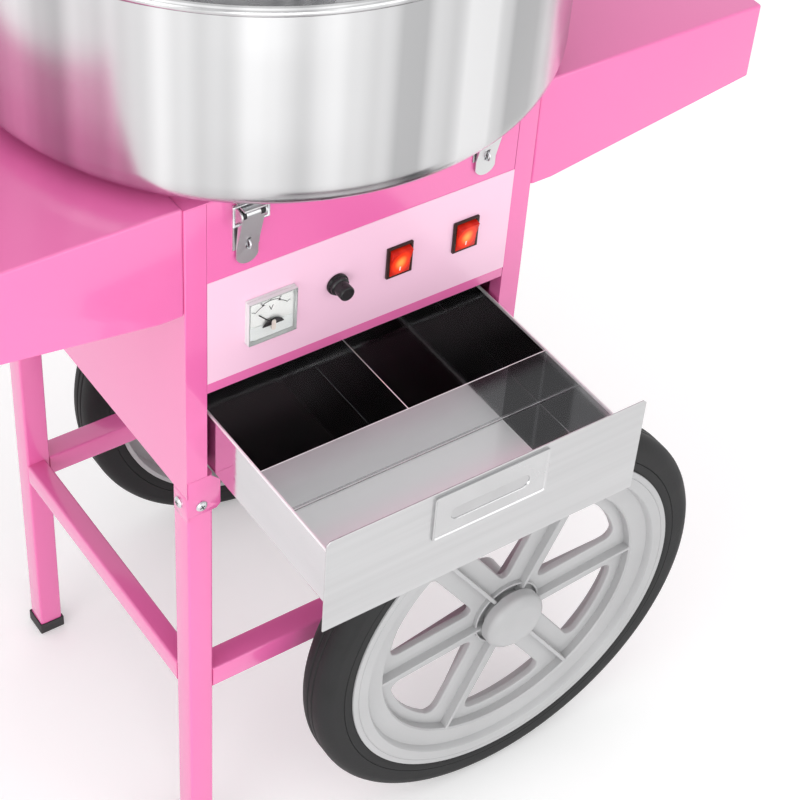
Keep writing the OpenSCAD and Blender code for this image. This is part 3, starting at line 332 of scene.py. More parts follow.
# Control film: a plain pale pink plastic film with a slight gloss, cut out round the controls and
# stuck across the front panel behind them.
film = finish("pale_film", (0.9, 0.57, 0.73), (0.92, 0.6, 0.755), 0, (0.25, 0.28), 4, 700, 0.00003,
              Coat_Weight=0.2, Coat_Roughness=0.1)
dress(film, "control_decal")

# Side shelves: trays folded from the same sheet, with tapered front and rear flanges and open
# below. The corners are welded and ground round before coating.
shelf_end, shelf_top, shelf_corner = 410, 816, 0.0026
flange = ((half_width, shelf_top), (shelf_end, shelf_top), (shelf_end, 743), (192, 711), (half_width, 711))


def draw_out(bm, faces, vector):
    """Draws faces out along a straight line into a closed form."""
    out = bmesh.ops.extrude_face_region(bm, geom=faces)["geom"]
    bmesh.ops.translate(bm, verts=[v for v in out if isinstance(v, bmesh.types.BMVert)], vec=vector)
    bmesh.ops.recalc_face_normals(bm, faces=bm.faces)


for side, node in ((-1, "left_shelf"), (1, "right_shelf")):
    bm = bmesh.new()
    front = bm.faces.new([bm.verts.new(at(side * x, -half_depth, z)) for x, z in flange])
    draw_out(bm, [front], (0, 2 * half_depth / 1000, 0))
    open_below = [f for f in bm.faces if f.normal.z < -0.5]
    bmesh.ops.delete(bm, geom=open_below, context="FACES")
    ease(bm, sharp(bm), shelf_corner, 4)
    sheet_piece(node + "_tray", bm, pink_paint, "cart", node)

# Push handle: a bent tube on two plates bolted under the left shelf, coated pink, with a
# ribbed rubber sleeve over the middle of its cross bar.
handle_z, handle_x, arm_y, arm_run, plate_x = 728, -470, 130, 0.2588, -171.2
elbow_x, elbow_y, handle_r = -430, 90, 0.011
to_side = Matrix.Rotation(math.pi / 2, 4, "Y")
bm = bmesh.new()
arm_end = Matrix.Translation(at(plate_x, arm_y, handle_z)) @ to_side
ring = bmesh.ops.create_circle(bm, segments=28, radius=handle_r, cap_ends=False, matrix=arm_end)
loop = list({e for v in ring["verts"] for e in v.link_edges})


def run(bm, loop, vector):
    """Draws a loop of edges out along a straight line."""
    out = bmesh.ops.extrude_edge_only(bm, edges=loop)["geom"]
    bmesh.ops.translate(bm, verts=[v for v in out if isinstance(v, bmesh.types.BMVert)], vec=vector)
    return [e for e in out if isinstance(e, bmesh.types.BMEdge)]


def elbow(bm, loop, centre, angle):
    """Bends a loop of edges round an upright axis."""
    out = bmesh.ops.spin(bm, geom=loop, cent=centre, axis=(0, 0, 1), angle=angle, steps=10)["geom_last"]
    return [e for e in out if isinstance(e, bmesh.types.BMEdge)]


loop = run(bm, loop, (-arm_run, 0, 0))
loop = elbow(bm, loop, at(elbow_x, elbow_y, handle_z), math.pi / 2)
loop = run(bm, loop, (0, -2 * elbow_y / 1000, 0))
loop = elbow(bm, loop, at(elbow_x, -elbow_y, handle_z), math.pi / 2)
run(bm, loop, (arm_run, 0, 0))
for y in (-arm_y, arm_y):
    rounded_bar(bm, at(plate_x - 3, y - 22, 712.6), at(plate_x, y + 22, 772), 0, 0.006, 4)
piece("push_handle_tube", bm, pink_paint, "cart", "push_handle")
bm = bmesh.new()
sleeve_bore, groove_r, rib_r, rib_pitch = 11.1, 13.4, 14.4, 10
ribs = [(sleeve_bore, -80), (14, -80), (14.5, -78), (14.5, -66)]
for z in range(-65, 65, rib_pitch):
    ribs += [(groove_r, z), (groove_r, z + 6), (rib_r, z + 7.5), (rib_r, z + 8.5)]
ribs += [(14.5, 66), (14.5, 78), (14, 80), (sleeve_bore, 80)]
lathe(bm, ribs, 48)
sleeve_place = Matrix.Translation(at(handle_x, 0, handle_z)) @ Matrix.Rotation(-math.pi / 2, 4, "X")
bmesh.ops.transform(bm, matrix=sleeve_place, verts=bm.verts)
piece("handle_sleeve", bm, rubber, "cart", "handle_grip")

# Wheels: moulded grey plastic with a stepped rim, a web with round-cornered windows, a rib down
# each spoke and a long hub barrel. A solid rubber tyre sits on the rim, a cap closes the hub.
wheel_plastic = finish("grey_moulding", (0.40, 0.40, 0.405), (0.47, 0.47, 0.475), 0, (0.32, 0.45), 6, 650,
                       0.00012, Specular_IOR_Level=0.45)
tyre_rubber = finish("tyre_rubber", (0.01, 0.01, 0.01), (0.02, 0.02, 0.021), 0, (0.5, 0.66), 25, 420, 0.0005,
                     Specular_IOR_Level=0.25)
web_low, web_top, web_r, spoke_half = 0.0432, 0.0512, 0.1535, 0.021
window_r, window_corner, window_heart = 0.139, 0.0125, 0.09
spoke_turns = [math.radians(5 + 60 * k) for k in range(6)]


def sixth(bm, angle):
    """A sixth of the web: a round-cornered opening between two spokes and the plate round it."""
    lean = math.asin(spoke_half / window_r)
    first, last = angle + lean, angle + math.pi / 3 - lean
    half = Vector((math.cos(angle + math.pi / 6), math.sin(angle + math.pi / 6), 0))
    verts = [bm.verts.new(half * spoke_half / math.sin(math.pi / 6))]
    for k in range(9):
        turn = first + (last - first) * k / 8
        verts.append(bm.verts.new((window_r * math.cos(turn), window_r * math.sin(turn), 0)))
    bm.faces.new(verts)
    bmesh.ops.bevel(bm, geom=[verts[0], verts[1], verts[-1]], offset=window_corner, offset_type="OFFSET",
                    segments=6, profile=0.5, affect="VERTICES", clamp_overlap=True, material=-1)
    pane = list(bm.faces)[0]
    edges = list(pane.edges)
    bmesh.ops.delete(bm, geom=[pane], context="FACES_ONLY")
    drawn = bmesh.ops.extrude_edge_only(bm, edges=edges)["geom"]
    rays = [v for v in drawn if isinstance(v, bmesh.types.BMVert)]
    heart = half * window_heart
    sides = [Vector((-math.sin(a), math.cos(a), 0)) for a in (angle, angle + math.pi / 3)]
    for v in rays:
        way = (v.co - heart).normalized()
        reach = [-heart.dot(n) / way.dot(n) for n in sides if abs(way.dot(n)) > 1e-9]
        along = heart.dot(way)
        reach.append(-along + math.sqrt(along * along - heart.dot(heart) + web_r * web_r))
        v.co = heart + way * min(t for t in reach if t > 0)
    for corner in (angle, angle + math.pi / 3):
        tip = Vector((math.cos(corner), math.sin(corner), 0)) * web_r
        min(rays, key=lambda v: (v.co - tip).length).co = tip
    min(rays, key=lambda v: v.co.length).co = (0, 0, 0)


def wheel(place, name, body, node):
    """One moulded wheel about its axle, from the hub's inner end outwards."""
    bm = bmesh.new()
    lathe(bm, [(191, 23), (191, 69), (185.4, 69), (184.8, 68), (184.2, 69), (174, 69), (172.5, 67.5),
               (171, 62), (168, 61), (152.5, 61), (151, 59.5), (151, 31), (156, 31), (156, 48.2),
               (186, 48.2), (186, 23)], 144)
    ease(bm, sharp(bm, 60), 0.0009, 2)
    plate = bmesh.new()
    for turn in spoke_turns:
        part = bmesh.new()
        sixth(part, turn)
        join(plate, part, Matrix.Translation((0, 0, web_low)))
        part.free()
    bmesh.ops.remove_doubles(plate, verts=plate.verts, dist=1e-5)
    draw_out(plate, plate.faces[:], (0, 0, web_top - web_low))
    ease(plate, sharp(plate, 60), 0.0014, 3)
    join(bm, plate)
    plate.free()
    lathe(bm, [(8.3, 0), (24, 0), (26, 1.5), (26, 59), (25, 60), (8.3, 60)], 64)
    lathe(bm, [(36.4, 50), (38.6, 50), (38.6, 55.4), (38, 56), (37, 56), (36.4, 55.4)], 96)
    rib = bmesh.new()
    wall = rib.faces.new([rib.verts.new((r / 1000, -0.002, z / 1000)) for r, z in
                          ((22, 24), (154, 33), (158, 60), (152, 60.6), (26, 59), (22, 59))])
    draw_out(rib, [wall], (0, 0.004, 0))
    ease(rib, sharp(rib, 60), 0.0009, 2)
    for turn in spoke_turns:
        join(bm, rib, Matrix.Rotation(turn, 4, "Z"))
    rib.free()
    bmesh.ops.transform(bm, matrix=place, verts=bm.verts)
    piece(name, bm, wheel_plastic, body, node)


tread_r, tyre_sides, shoulder = 0.226, (0.024, 0.068), 0.0145


def tyre(place, name, body, node):
    """A solid rubber tyre with a round crown and a fine ring on each wall."""
    bm = bmesh.new()
    lathe(bm, [(191.1, 25), (195, 24), (200, 24), (200.6, 24.7), (201.2, 24), (226, 24), (226, 41),
               (225, 42), (225, 43), (226, 44), (226, 48), (225, 49), (225, 50), (226, 51), (226, 68),
               (201.2, 68), (200.6, 67.3), (200, 68), (195, 68), (191.1, 67)], 160)
    rings = {v for v in bm.verts if abs(v.co.xy.length - tread_r) < 1e-5
             and min(abs(v.co.z - z) for z in tyre_sides) < 1e-5}
    ease(bm, [e for e in bm.edges if all(v in rings for v in e.verts)], shoulder, 7)
    bmesh.ops.transform(bm, matrix=place, verts=bm.verts)
    piece(name, bm, tyre_rubber, body, node)


def hub_cap(place, name, body, node):
    """A thin-walled cap with a flat face, a wide bevel and a short skirt."""
    bm = bmesh.new()
    lathe(bm, [(0, 77), (22, 76.8), (26, 76.2), (32.2, 71.6), (33.6, 69.6), (34, 67.6), (34, 60.2),
               (23.6, 60.2), (23.6, 74), (0, 74)], 80, False)
    bmesh.ops.transform(bm, matrix=place, verts=bm.verts)
    piece(name, bm, wheel_plastic, body, node, smooth=30)


hub_y, axle_z = 184.5, 226
to_front = Matrix.Rotation(math.pi / 2, 4, "X")
front_hub = Matrix.Translation(at(leg_x, -hub_y, axle_z)) @ to_front
back_hub = Matrix.Translation(at(leg_x, hub_y, axle_z)) @ Matrix.Scale(-1, 4, (0, 1, 0)) @ to_front
for place, end in ((front_hub, "front"), (back_hub, "back")):
    body = end + "_wheel_set"
    wheel(place, end + "_wheel_moulding", body, end + "_wheel")
    tyre(place, end + "_tyre_ring", body, end + "_tyre")
    hub_cap(place, end + "_cap", body, end + "_hub_cap")
eased("axle", zinc, "cart", 0.0006, 2)
eased("axle_washers", zinc, "cart", 0.0003, 2)

# Drawer box: thin stainless sheet folded up from one blank and polished, with hemmed top edges.
# The front bay's floor keeps the mill's rolled finish, and its right end a darker steel as painted shade.
mirror_steel = finish("polished_stainless", (0.60, 0.60, 0.61), (0.68, 0.68, 0.69), 1, (0.06, 0.13), 5, 60,
                      0.0001, (1, 1, 3))
box_x, box_front, box_back, box_low, box_top = 146, -369.5, -55.5, 527.8, 590.8
bay = at(104, -256, 0)  # the front bay's rear wall, and where its darker end begins


def cut_across(bm, point, normal, clear=False):
    """Cuts a mesh along a plane and, if asked, takes away what lies behind it."""
    bmesh.ops.bisect_plane(bm, geom=bm.verts[:] + bm.edges[:] + bm.faces[:], plane_co=point,
                           plane_no=normal, clear_inner=clear)


bm = bmesh.new()
brick(bm, at(-box_x, box_front, box_low), at(box_x, box_back, box_top))
lid = max(bm.faces, key=lambda f: f.calc_center_median().z)
bmesh.ops.delete(bm, geom=[lid], context="FACES_ONLY")
ease(bm, [e for e in bm.edges if len(e.link_faces) == 2], 0.0014, 3)
cut_across(bm, bay, (0, 1, 0))
cut_across(bm, bay, (1, 0, 0))
tray = sheet_piece("drawer_tray", bm, mirror_steel, "drawer", "drawer_box", thick=0.001, smooth=12)
tray_steel = finish("rolled_stainless", (0.86, 0.86, 0.865), (0.9, 0.9, 0.905), 0.5, (0.3, 0.36), 4, 80,
                    0.00008, (1, 3, 1))
# A darker polished steel: painted shade for the right end of the front bay, the back hem and the divider's
# right part.
painted_shade_steel = finish("painted_shade_stainless", (0.34, 0.34, 0.345), (0.4, 0.4, 0.405), 1, (0.06, 0.13), 5, 60,
                     0.0001)
# Three coats for the outside, all polished, and the same three places again for the inside, where the front
# bay's right end takes painted shade.
for coat in (mirror_steel, mirror_steel, mirror_steel, tray_steel, painted_shade_steel):
    tray.data.materials.append(coat)
tray.modifiers["wall"].material_offset = 3
for face in tray.data.polygons:
    in_bay = face.center.y < bay.y
    if in_bay and face.center.x > bay.x:
        face.material_index = 2
    elif in_bay and face.normal.z < -0.9:
        face.material_index = 1
hem_in, hem_out, hem_low, hem_top, hem_round = 144.7, 146.4, 587.6, 591, 0.0006
bm = bmesh.new()
for side in (-1, 1):
    low, high = sorted((side * hem_in, side * hem_out))
    rounded_bar(bm, at(low, -369.4, hem_low), at(high, box_back, hem_top), 1, hem_round, 2)
rounded_bar(bm, at(-hem_out, -57, hem_low), at(hem_out, -55.3, hem_top), 0, hem_round, 2)
hems = piece("drawer_hems", bm, tray_steel, "drawer")
# The back hem takes the painted shade, which darkens its reflection in the rear bay's floor.
hems.data.materials.append(painted_shade_steel)
for face in hems.data.polygons:
    if face.center.y > at(0, -57.5, 0).y:
        face.material_index = 1

# Dividers: a cross wall and a lengthwise partition of the same polished sheet, spot-welded to the
# box. The cross wall's foot is folded under it, which leaves a bright round line on the floor.
bm = copied("drawer_dividers")
ease(bm, sharp(bm), 0.0003, 2)
cut_across(bm, bay, (1, 0, 0))
dividers = piece("drawer_dividers_eased", bm, mirror_steel, "drawer", "drawer_dividers", smooth=12)
# Right of the bay's mark the divider's front face takes the painted shade; its upper faces take the rolled
# steel.
dividers.data.materials.append(painted_shade_steel)
dividers.data.materials.append(tray_steel)
for face in dividers.data.polygons:
    if face.normal.y < -0.9 and face.center.x > bay.x:
        face.material_index = 1
    elif face.normal.z > 0.3:
        face.material_index = 2
bm = bmesh.new()
rounded_bar(bm, at(-144.9, -256.1, 528.8), at(144.9, -254.3, 530.4), 0, 0.0007, 3)
piece("divider_foot", bm, mirror_steel, "drawer")

# Drawer front: a thicker stainless plate, brushed to a satin along its length, with its upper
# corners clipped, fixed over the front of the box.
satin = finish("satin_stainless", (0.53, 0.53, 0.535), (0.59, 0.59, 0.595), 1, (0.3, 0.4), 3, 90, 0.00006,
               (1, 40, 40))
eased("drawer_front", satin, "drawer", 0.0004, 2, 12)

# Pull: a pressed stainless plate riveted on the drawer front, with a raised border and a deep
# finger slot with round ends.
pull_steel = finish("pressed_stainless", (0.53, 0.53, 0.535), (0.59, 0.59, 0.595), 1, (0.2, 0.3), 20, 300,
                    0.00004)
slot_z, slot_back = 588.5, -355
bm = bmesh.new()
rounded_bar(bm, at(-57, -373, 567), at(57, -371, 616), 1, 0.0028, 4)
face = min(bm.faces, key=lambda f: f.calc_center_median().y)
bmesh.ops.inset_region(bm, faces=[face], thickness=0.0012)
bmesh.ops.inset_region(bm, faces=[face], thickness=0.0011, depth=-0.0009)
border = list(face.edges)
bmesh.ops.delete(bm, geom=[face], context="FACES_ONLY")
rounded_bar(bm, at(-39, -372.1, slot_z - 6.5), at(39, slot_back, slot_z + 6.5), 1, 0.0064, 8)
mouth = min((f for f in bm.faces if len(f.verts) > 20 and f.normal.y < -0.9), key=lambda f: f.calc_area())
rim = list(mouth.edges)
bmesh.ops.delete(bm, geom=[mouth], context="FACES_ONLY")
bmesh.ops.triangle_fill(bm, use_beauty=True, edges=border + rim)
bmesh.ops.recalc_face_normals(bm, faces=bm.faces)
ease(bm, [e for e in rim if e.is_valid], 0.0012, 3)
slot_floor = at(0, slot_back, 0).y
deep = [e for e in bm.edges if all(abs(v.co.y - slot_floor) < 1e-5 for v in e.verts)
        and len(e.link_faces) == 2 and e.calc_face_angle() > 1]
ease(bm, deep, 0.0045, 4)
rounded_bar(bm, at(-40, -370.8, slot_z - 7.5), at(40, slot_back + 1, slot_z + 7.5), 1, 0.0073, 8)
pull = piece("drawer_pull_plate", bm, pull_steel, "drawer", "drawer_pull", smooth=12)
slot_shade_steel = finish("slot_stainless_painted_shade", (0.48, 0.48, 0.485), (0.54, 0.54, 0.545), 1, (0.14, 0.2), 30, 300,
                   0.00004)
pull.data.materials.append(slot_shade_steel)
# The slot's inside and the plate's side faces take a darker, glossier steel; its darkness is painted shade in
# the slot and along the plate's edges.
slot_mouth = at(0, -371.6, slot_z)
for face in pull.data.polygons:
    off = face.center - slot_mouth
    in_slot = off.y > 0 and abs(off.x) < 0.0396 and abs(off.z) < 0.007
    if in_slot or abs(face.normal.y) < 0.1:
        face.material_index = 1

# Voltmeter: a pale moulded case let into the panel, a printed dial on its flange, a frosted mask
# over the lower half and a clear moulded cover with frosted sides, snapped over the front.
case_plastic = finish("pale_moulding", (0.76, 0.77, 0.76), (0.82, 0.83, 0.82), 0, (0.3, 0.42), 30, 700,
                      0.00005)
dial_card = finish("dial_card", (0.84, 0.84, 0.82), (0.9, 0.9, 0.88), 0, (0.5, 0.6), 60, 900, 0.00002)
ink = finish("black_ink", (0.012, 0.012, 0.013), (0.022, 0.022, 0.023), 0, (0.4, 0.5), 80, 900, 0.00001)
eased("meter_body", case_plastic, "cart", 0.0005, 2)
dress(dial_card, "meter_dial")
dial_x, dial_y, print_near, print_far = -92.4, -181.6, -181.63, -181.57
scale_in, scale_out, scale_end, scale_step = 0.0212, 0.0219, 45, 22.5
pivot = at(dial_x, dial_y, 673.6)
bm = bmesh.new()
aside = Vector((math.cos(math.radians(scale_end)), 0, math.sin(math.radians(scale_end))))
arc = [bm.verts.new(pivot + aside * r) for r in (scale_in, scale_out)]
bmesh.ops.spin(bm, geom=arc + [bm.edges.new(arc)], cent=pivot, axis=(0, -1, 0), angle=math.pi / 2, steps=32)
for k in range(5):
    tick = brick(bm, Vector((0.0216, -0.00003, -0.00025)), Vector((0.0234, 0.00003, 0.00025)))
    turn = Matrix.Rotation(-math.radians(scale_end + scale_step * k), 3, "Y")
    bmesh.ops.rotate(bm, verts=tick, cent=(0, 0, 0), matrix=turn)
    bmesh.ops.translate(bm, verts=tick, vec=pivot)
# Two thin dark lines along the dial's left and top edges: painted shadow of the cover's inner edge.
brick(bm, at(-112, print_near, 675), at(-111.6, print_far, 698.4))
brick(bm, at(-112, print_near, 698), at(-73, print_far, 698.4))
piece("dial_scale_and_painted_shadow", bm, ink, "cart")


def lettering(name, words, size, middle, coat, body):
    """Thin upright letters that face the front."""
    curve = bpy.data.curves.new(name, "FONT")
    curve.body = words
    curve.size = size
    curve.extrude = 0.00004
    curve.align_x = "CENTER"
    curve.align_y = "CENTER"
    held = bpy.data.objects.new(name, curve)
    bm = bmesh.new()
    bm.from_mesh(held.to_mesh())
    held.to_mesh_clear()
    bpy.data.objects.remove(held)
    bmesh.ops.transform(bm, matrix=Matrix.Translation(middle) @ to_front, verts=bm.verts)
    return piece(name, bm, coat, body)


unit_size, number_size, number_r, number_z = 0.0072, 0.0014, 24.1, 673
lettering("dial_unit", "V", unit_size, at(-92.6, dial_y, 688.7), ink, "cart")
for k, words in enumerate(("0", "100", "200", "300", "400")):
    lean = math.radians(180 - scale_end - scale_step * k)
    middle = at(dial_x + number_r * math.cos(lean), dial_y, number_z + number_r * math.sin(lean))
    lettering("dial_number_" + words, words, number_size, middle, ink, "cart")
frost = finish("frosted_mask", (0.74, 0.76, 0.75), (0.8, 0.82, 0.81), 0, (0.45, 0.6), 30, 800, 0.00004)
bm = bmesh.new()
rounded_bar(bm, at(-112.6, -181.9, 660.4), at(-71.4, -181.5, 674), 1, 0.001, 2)
piece("meter_mask", bm, frost, "cart")
bm = bmesh.new()
pane_r, pane_t = 0.0114, 0.0008
pane_place = Matrix.Translation(at(-92, -184.9, 668.4)) @ to_front
bmesh.ops.create_circle(bm, cap_ends=True, segments=64, radius=pane_r, matrix=pane_place)
cut_across(bm, at(-92, 0, 673.5), (0, 0, 1), True)
draw_out(bm, bm.faces[:], (0, pane_t, 0))
piece("mask_window", bm, ink, "cart")
boss = finish("pale_boss", (0.72, 0.63, 0.57), (0.8, 0.72, 0.66), 0, (0.35, 0.45), 90, 900, 0.00003)
bm = bmesh.new()
rounded_bar(bm, at(-93.9, -185.7, 668), at(-90.1, -184.2, 678.4), 1, 0.0016, 4)
piece("meter_boss", bm, boss, "cart")
clear = finish("clear_cover", (0.97, 0.98, 0.98), (0.99, 0.99, 0.99), 0, (0.02, 0.04), 20, 60, 0.000001,
               Transmission_Weight=1, IOR=1.16)
cover = eased("meter_cover", clear, "cart", 0.0004, 2)
cover.data.materials.append(frost)
for face in cover.data.polygons:
    if abs(face.normal.y) < 0.3:
        face.material_index = 1
dress(ink, "meter_needle")

# Speed knob: a black moulded knob with a stepped skirt, a smooth grip and a turned edge round its
# cap, pressed on the potentiometer's shaft.
black_plastic = finish("black_moulding", (0.008, 0.008, 0.009), (0.018, 0.018, 0.019), 0, (0.22, 0.3), 60,
                       900, 0.00004, Specular_IOR_Level=0.35)
bm = bmesh.new()
lathe(bm, [(0, -12), (2.95, -12), (2.95, 0), (10, 0), (10, 2.4), (9.6, 3), (8.8, 3.2), (8.6, 5.4), (8, 6),
           (7, 6.4), (6.9, 15.6), (6.5, 16.4), (5.9, 16.7), (5.7, 16.5), (0, 16.6)], 72, False)
bmesh.ops.transform(bm, matrix=Matrix.Translation(at(-27, -178.7, 684)) @ to_front, verts=bm.verts)
piece("knob_moulding", bm, black_plastic, "knob", "speed_knob")
dress(zinc, "speed_pot")

# Rocker switches: dark brown bezels that snap into the panel, each with a translucent red rocker
# lit from inside, so that its middle glows orange.
bezel = finish("brown_bezel", (0.03, 0.016, 0.013), (0.045, 0.024, 0.02), 0, (0.25, 0.38), 50, 900, 0.00005,
               Specular_IOR_Level=0.2)
eased("switch_housings", bezel, "cart", 0.0011, 3)
white_ink = finish("white_ink", (0.78, 0.78, 0.77), (0.86, 0.86, 0.85), 0, (0.4, 0.5), 200, 900, 0.00001)
glow_reach, glow_strength = (0.0105, 0.02, 0.0145), 0.8


def centred(tree, middle):
    """A mapping that puts the origin of a pattern at a point of the piece."""
    coords = tree.nodes.new("ShaderNodeTexCoord")
    centre = tree.nodes.new("ShaderNodeMapping")
    centre.vector_type = "TEXTURE"
    centre.inputs["Location"].default_value = middle
    tree.links.new(coords.outputs["Object"], centre.inputs["Vector"])
    return centre


def lit_lens(name, middle):
    """Red plastic that glows from a lamp behind its middle."""
    coat = finish(name, (0.5, 0.012, 0.006), (0.62, 0.02, 0.008), 0, (0.28, 0.34), 60, 500, 0.00001,
                  Specular_IOR_Level=0.2)
    tree = coat.node_tree
    shader = tree.nodes["Principled BSDF"]
    centre = centred(tree, middle)
    centre.inputs["Scale"].default_value = glow_reach
    ball = tree.nodes.new("ShaderNodeTexGradient")
    ball.gradient_type = "SPHERICAL"
    glow = tree.nodes.new("ShaderNodeValToRGB")
    stops = glow.color_ramp.elements
    stops[0].color = (0.12, 0.002, 0.001, 1)
    stops[1].position = 0.85
    stops[1].color = (1, 0.52, 0.1, 1)
    middle_stop = stops.new(0.4)
    middle_stop.color = (0.85, 0.06, 0.008, 1)
    tree.links.new(centre.outputs["Vector"], ball.inputs["Vector"])
    tree.links.new(ball.outputs["Fac"], glow.inputs["Fac"])
    tree.links.new(glow.outputs["Color"], shader.inputs["Emission Color"])
    shader.inputs["Emission Strength"].default_value = glow_strength
    return coat


for side, x in (("left", 34.5), ("right", 102.5)):
    lens = lit_lens(side + "_lit_lens", at(x, -184, 683.5))
    eased(side + "_rocker", lens, side + "_switch_rocker", 0.0007, 3)
    tip = Matrix.Translation(at(x, -178.4, 684.5)) @ to_front
    tip = tip @ Matrix.Translation((0, 0, -0.0015)) @ Matrix.Rotation(math.radians(10), 4, "X")
    slope = Matrix.Rotation(-math.atan2(1, 13), 4, "X")
    bm = bmesh.new()
    brick(bm, Vector((-0.0006, -0.0022, 0)), Vector((0.0006, 0.0022, 0.00008)))
    bmesh.ops.transform(bm, matrix=tip @ Matrix.Translation((0, -0.0072, 0.00607)) @ slope, verts=bm.verts)
    piece(side + "_rocker_mark", bm, white_ink, side + "_switch_rocker")

# Draw latches: pressed steel bases riveted to the panel, levers with a slot for a lock eye, and
# spring-wire bails that pull the bowl's hooks down.
latch_steel = finish("latch_steel", (0.64, 0.64, 0.645), (0.68, 0.68, 0.685), 1, (0.3, 0.34), 20, 700,
                     0.00001)
wire_r, eye_r, eye_tall, notch_shade_length = 0.0008, 0.0036, 1.18, 3.4
eased("latch_bases", latch_steel, "cart", 0.0005, 2)
for side, x in (("left", -115), ("right", 115)):
    eased(side + "_latch_lever", latch_steel, side + "_lever", 0.0005, 2, 12)
    eased(side + "_latch_bail", zinc, side + "_bail", 0.0001, 1)
    bm = bmesh.new()
    wire_end = Matrix.Translation((eye_r, 0, 0)) @ to_front
    bmesh.ops.create_circle(bm, segments=14, radius=wire_r, matrix=wire_end)
    bmesh.ops.spin(bm, geom=bm.verts[:] + bm.edges[:], cent=(0, 0, 0), axis=(0, 0, 1), angle=math.tau,
                   steps=40, use_merge=True)
    eye_place = Matrix.Translation(at(x, -182.4, 764.4)) @ Matrix.Scale(eye_tall, 4, (0, 0, 1)) @ to_side
    bmesh.ops.transform(bm, matrix=eye_place, verts=bm.verts)
    piece(side + "_lock_eye", bm, zinc, "cart")
    # Black rings at the barrel's ends, riding on the lever: painted shade in the relief notches between
    # flange and barrel.
    bm = bmesh.new()
    for end in (-9.8, 6.4):
        notch_shade = bmesh.new()
        far = end + notch_shade_length
        lathe(notch_shade, [(2.6, end), (3.5, end), (3.7, end + 0.3), (3.7, far - 0.3), (3.5, far), (2.6, far)], 32)
        join(bm, notch_shade, Matrix.Translation(at(x, -187, 798)) @ to_side)
        notch_shade.free()
    piece(side + "_notch_shade_rings", bm, black_plastic, side + "_lever")

# Bowl: a spun stainless pan with a rolled bead, clamped on a rubber seat ring. Its wall carries soft
# upright bands of light and dark, a painted reflection that follows the angle round it, and a plain floor.
bowl_steel = finish("spun_stainless_painted_reflection", (0.66, 0.66, 0.665), (0.72, 0.72, 0.725), 1, (0.2, 0.25), 4, 130,
                    0.00001, (1, 1, 8))
reflection_dark_tone, reflection_light_tone, reflection_band_count = (0.4, 0.4, 0.405, 1), (0.72, 0.72, 0.725, 1), 26


def paint_reflection_bands(coat, middle):
    """Adds soft upright bands of painted reflection that follow the angle round the middle."""
    tree = coat.node_tree
    shader = tree.nodes["Principled BSDF"]
    centre = centred(tree, middle)
    centre.inputs["Rotation"].default_value = (0, 0, -math.pi / 2)
    angle = tree.nodes.new("ShaderNodeTexGradient")
    angle.gradient_type = "RADIAL"
    bands = tree.nodes.new("ShaderNodeTexNoise")
    bands.noise_dimensions = "1D"
    bands.inputs["Scale"].default_value = reflection_band_count
    bands.inputs["Detail"].default_value = 2
    tones = tree.nodes.new("ShaderNodeValToRGB")
    tones.color_ramp.elements[0].position = 0.32
    tones.color_ramp.elements[0].color = reflection_dark_tone
    tones.color_ramp.elements[1].position = 0.68
    tones.color_ramp.elements[1].color = reflection_light_tone
    tree.links.new(centre.outputs["Vector"], angle.inputs["Vector"])
    tree.links.new(angle.outputs["Fac"], bands.inputs["W"])
    tree.links.new(bands.outputs["Fac"], tones.inputs["Fac"])
    tree.links.new(tones.outputs["Color"], shader.inputs["Base Color"])


paint_reflection_bands(bowl_steel, at(0, 0, 0))
bowl_r, bowl_low, edge_r, bead_r, bead_z = 260, 822, 30, 4, 1003
bowl_place = Matrix.Translation(at(0, 0, 0))
flat_r, wall_low = bowl_r - edge_r, bowl_low + edge_r
pan_outline = [(r, bowl_low) for r in (28.3, 60, 150, flat_r)]
for turn in (math.radians(9 * k) for k in range(1, 11)):
    pan_outline.append((flat_r + edge_r * math.sin(turn), wall_low - edge_r * math.cos(turn)))
pan_outline += [(bowl_r, z) for z in (900, 950, 1000)]
bm = bmesh.new()
lathe(bm, pan_outline, 160, False)
bmesh.ops.transform(bm, matrix=bowl_place, verts=bm.verts)
pan = sheet_piece("bowl_pan", bm, bowl_steel, "cart", "bowl", thick=0.001)
floor_steel = finish("spun_floor", (0.6, 0.6, 0.605), (0.64, 0.64, 0.645), 1, (0.2, 0.25), 4, 130, 0.00001)
pan.data.materials.append(floor_steel)
for face in pan.data.polygons:
    if abs(face.normal.z) > 0.9:
        face.material_index = 1
bm = bmesh.new()
turns = [math.radians(30 * k) for k in range(12)]
lathe(bm, [(bowl_r + bead_r * math.cos(a), bead_z + bead_r * math.sin(a)) for a in turns], 160)
bmesh.ops.transform(bm, matrix=bowl_place, verts=bm.verts)
piece("bowl_bead", bm, bowl_steel, "cart")
eased("bowl_seat", rubber, "cart", 0.001, 2)
eased("bowl_catches", latch_steel, "cart", 0.0003, 2)

# Spinner: an aluminium dish with a boss on the steel spindle, a sheathed heating ring inside it and
# a ring cover on top. The spindle runs in a cast housing hung under the deck.
alloy = finish("turned_alloy", (0.62, 0.62, 0.63), (0.72, 0.72, 0.73), 1, (0.22, 0.34), 30, 300, 0.00005,
               (1, 1, 8))
heater = finish("heater_sheath", (0.16, 0.13, 0.11), (0.26, 0.22, 0.19), 1, (0.4, 0.55), 90, 600, 0.00008)
eased("spinner_head", alloy, "spinner", 0.0006, 2)
eased("heater_ring", heater, "spinner", 0.0002, 1)
eased("head_cap", alloy, "spinner", 0.0006, 2)
eased("spindle", zinc, "spinner", 0.0008, 2)
eased("bearing_housing", alloy, "cart", 0.0006, 2)

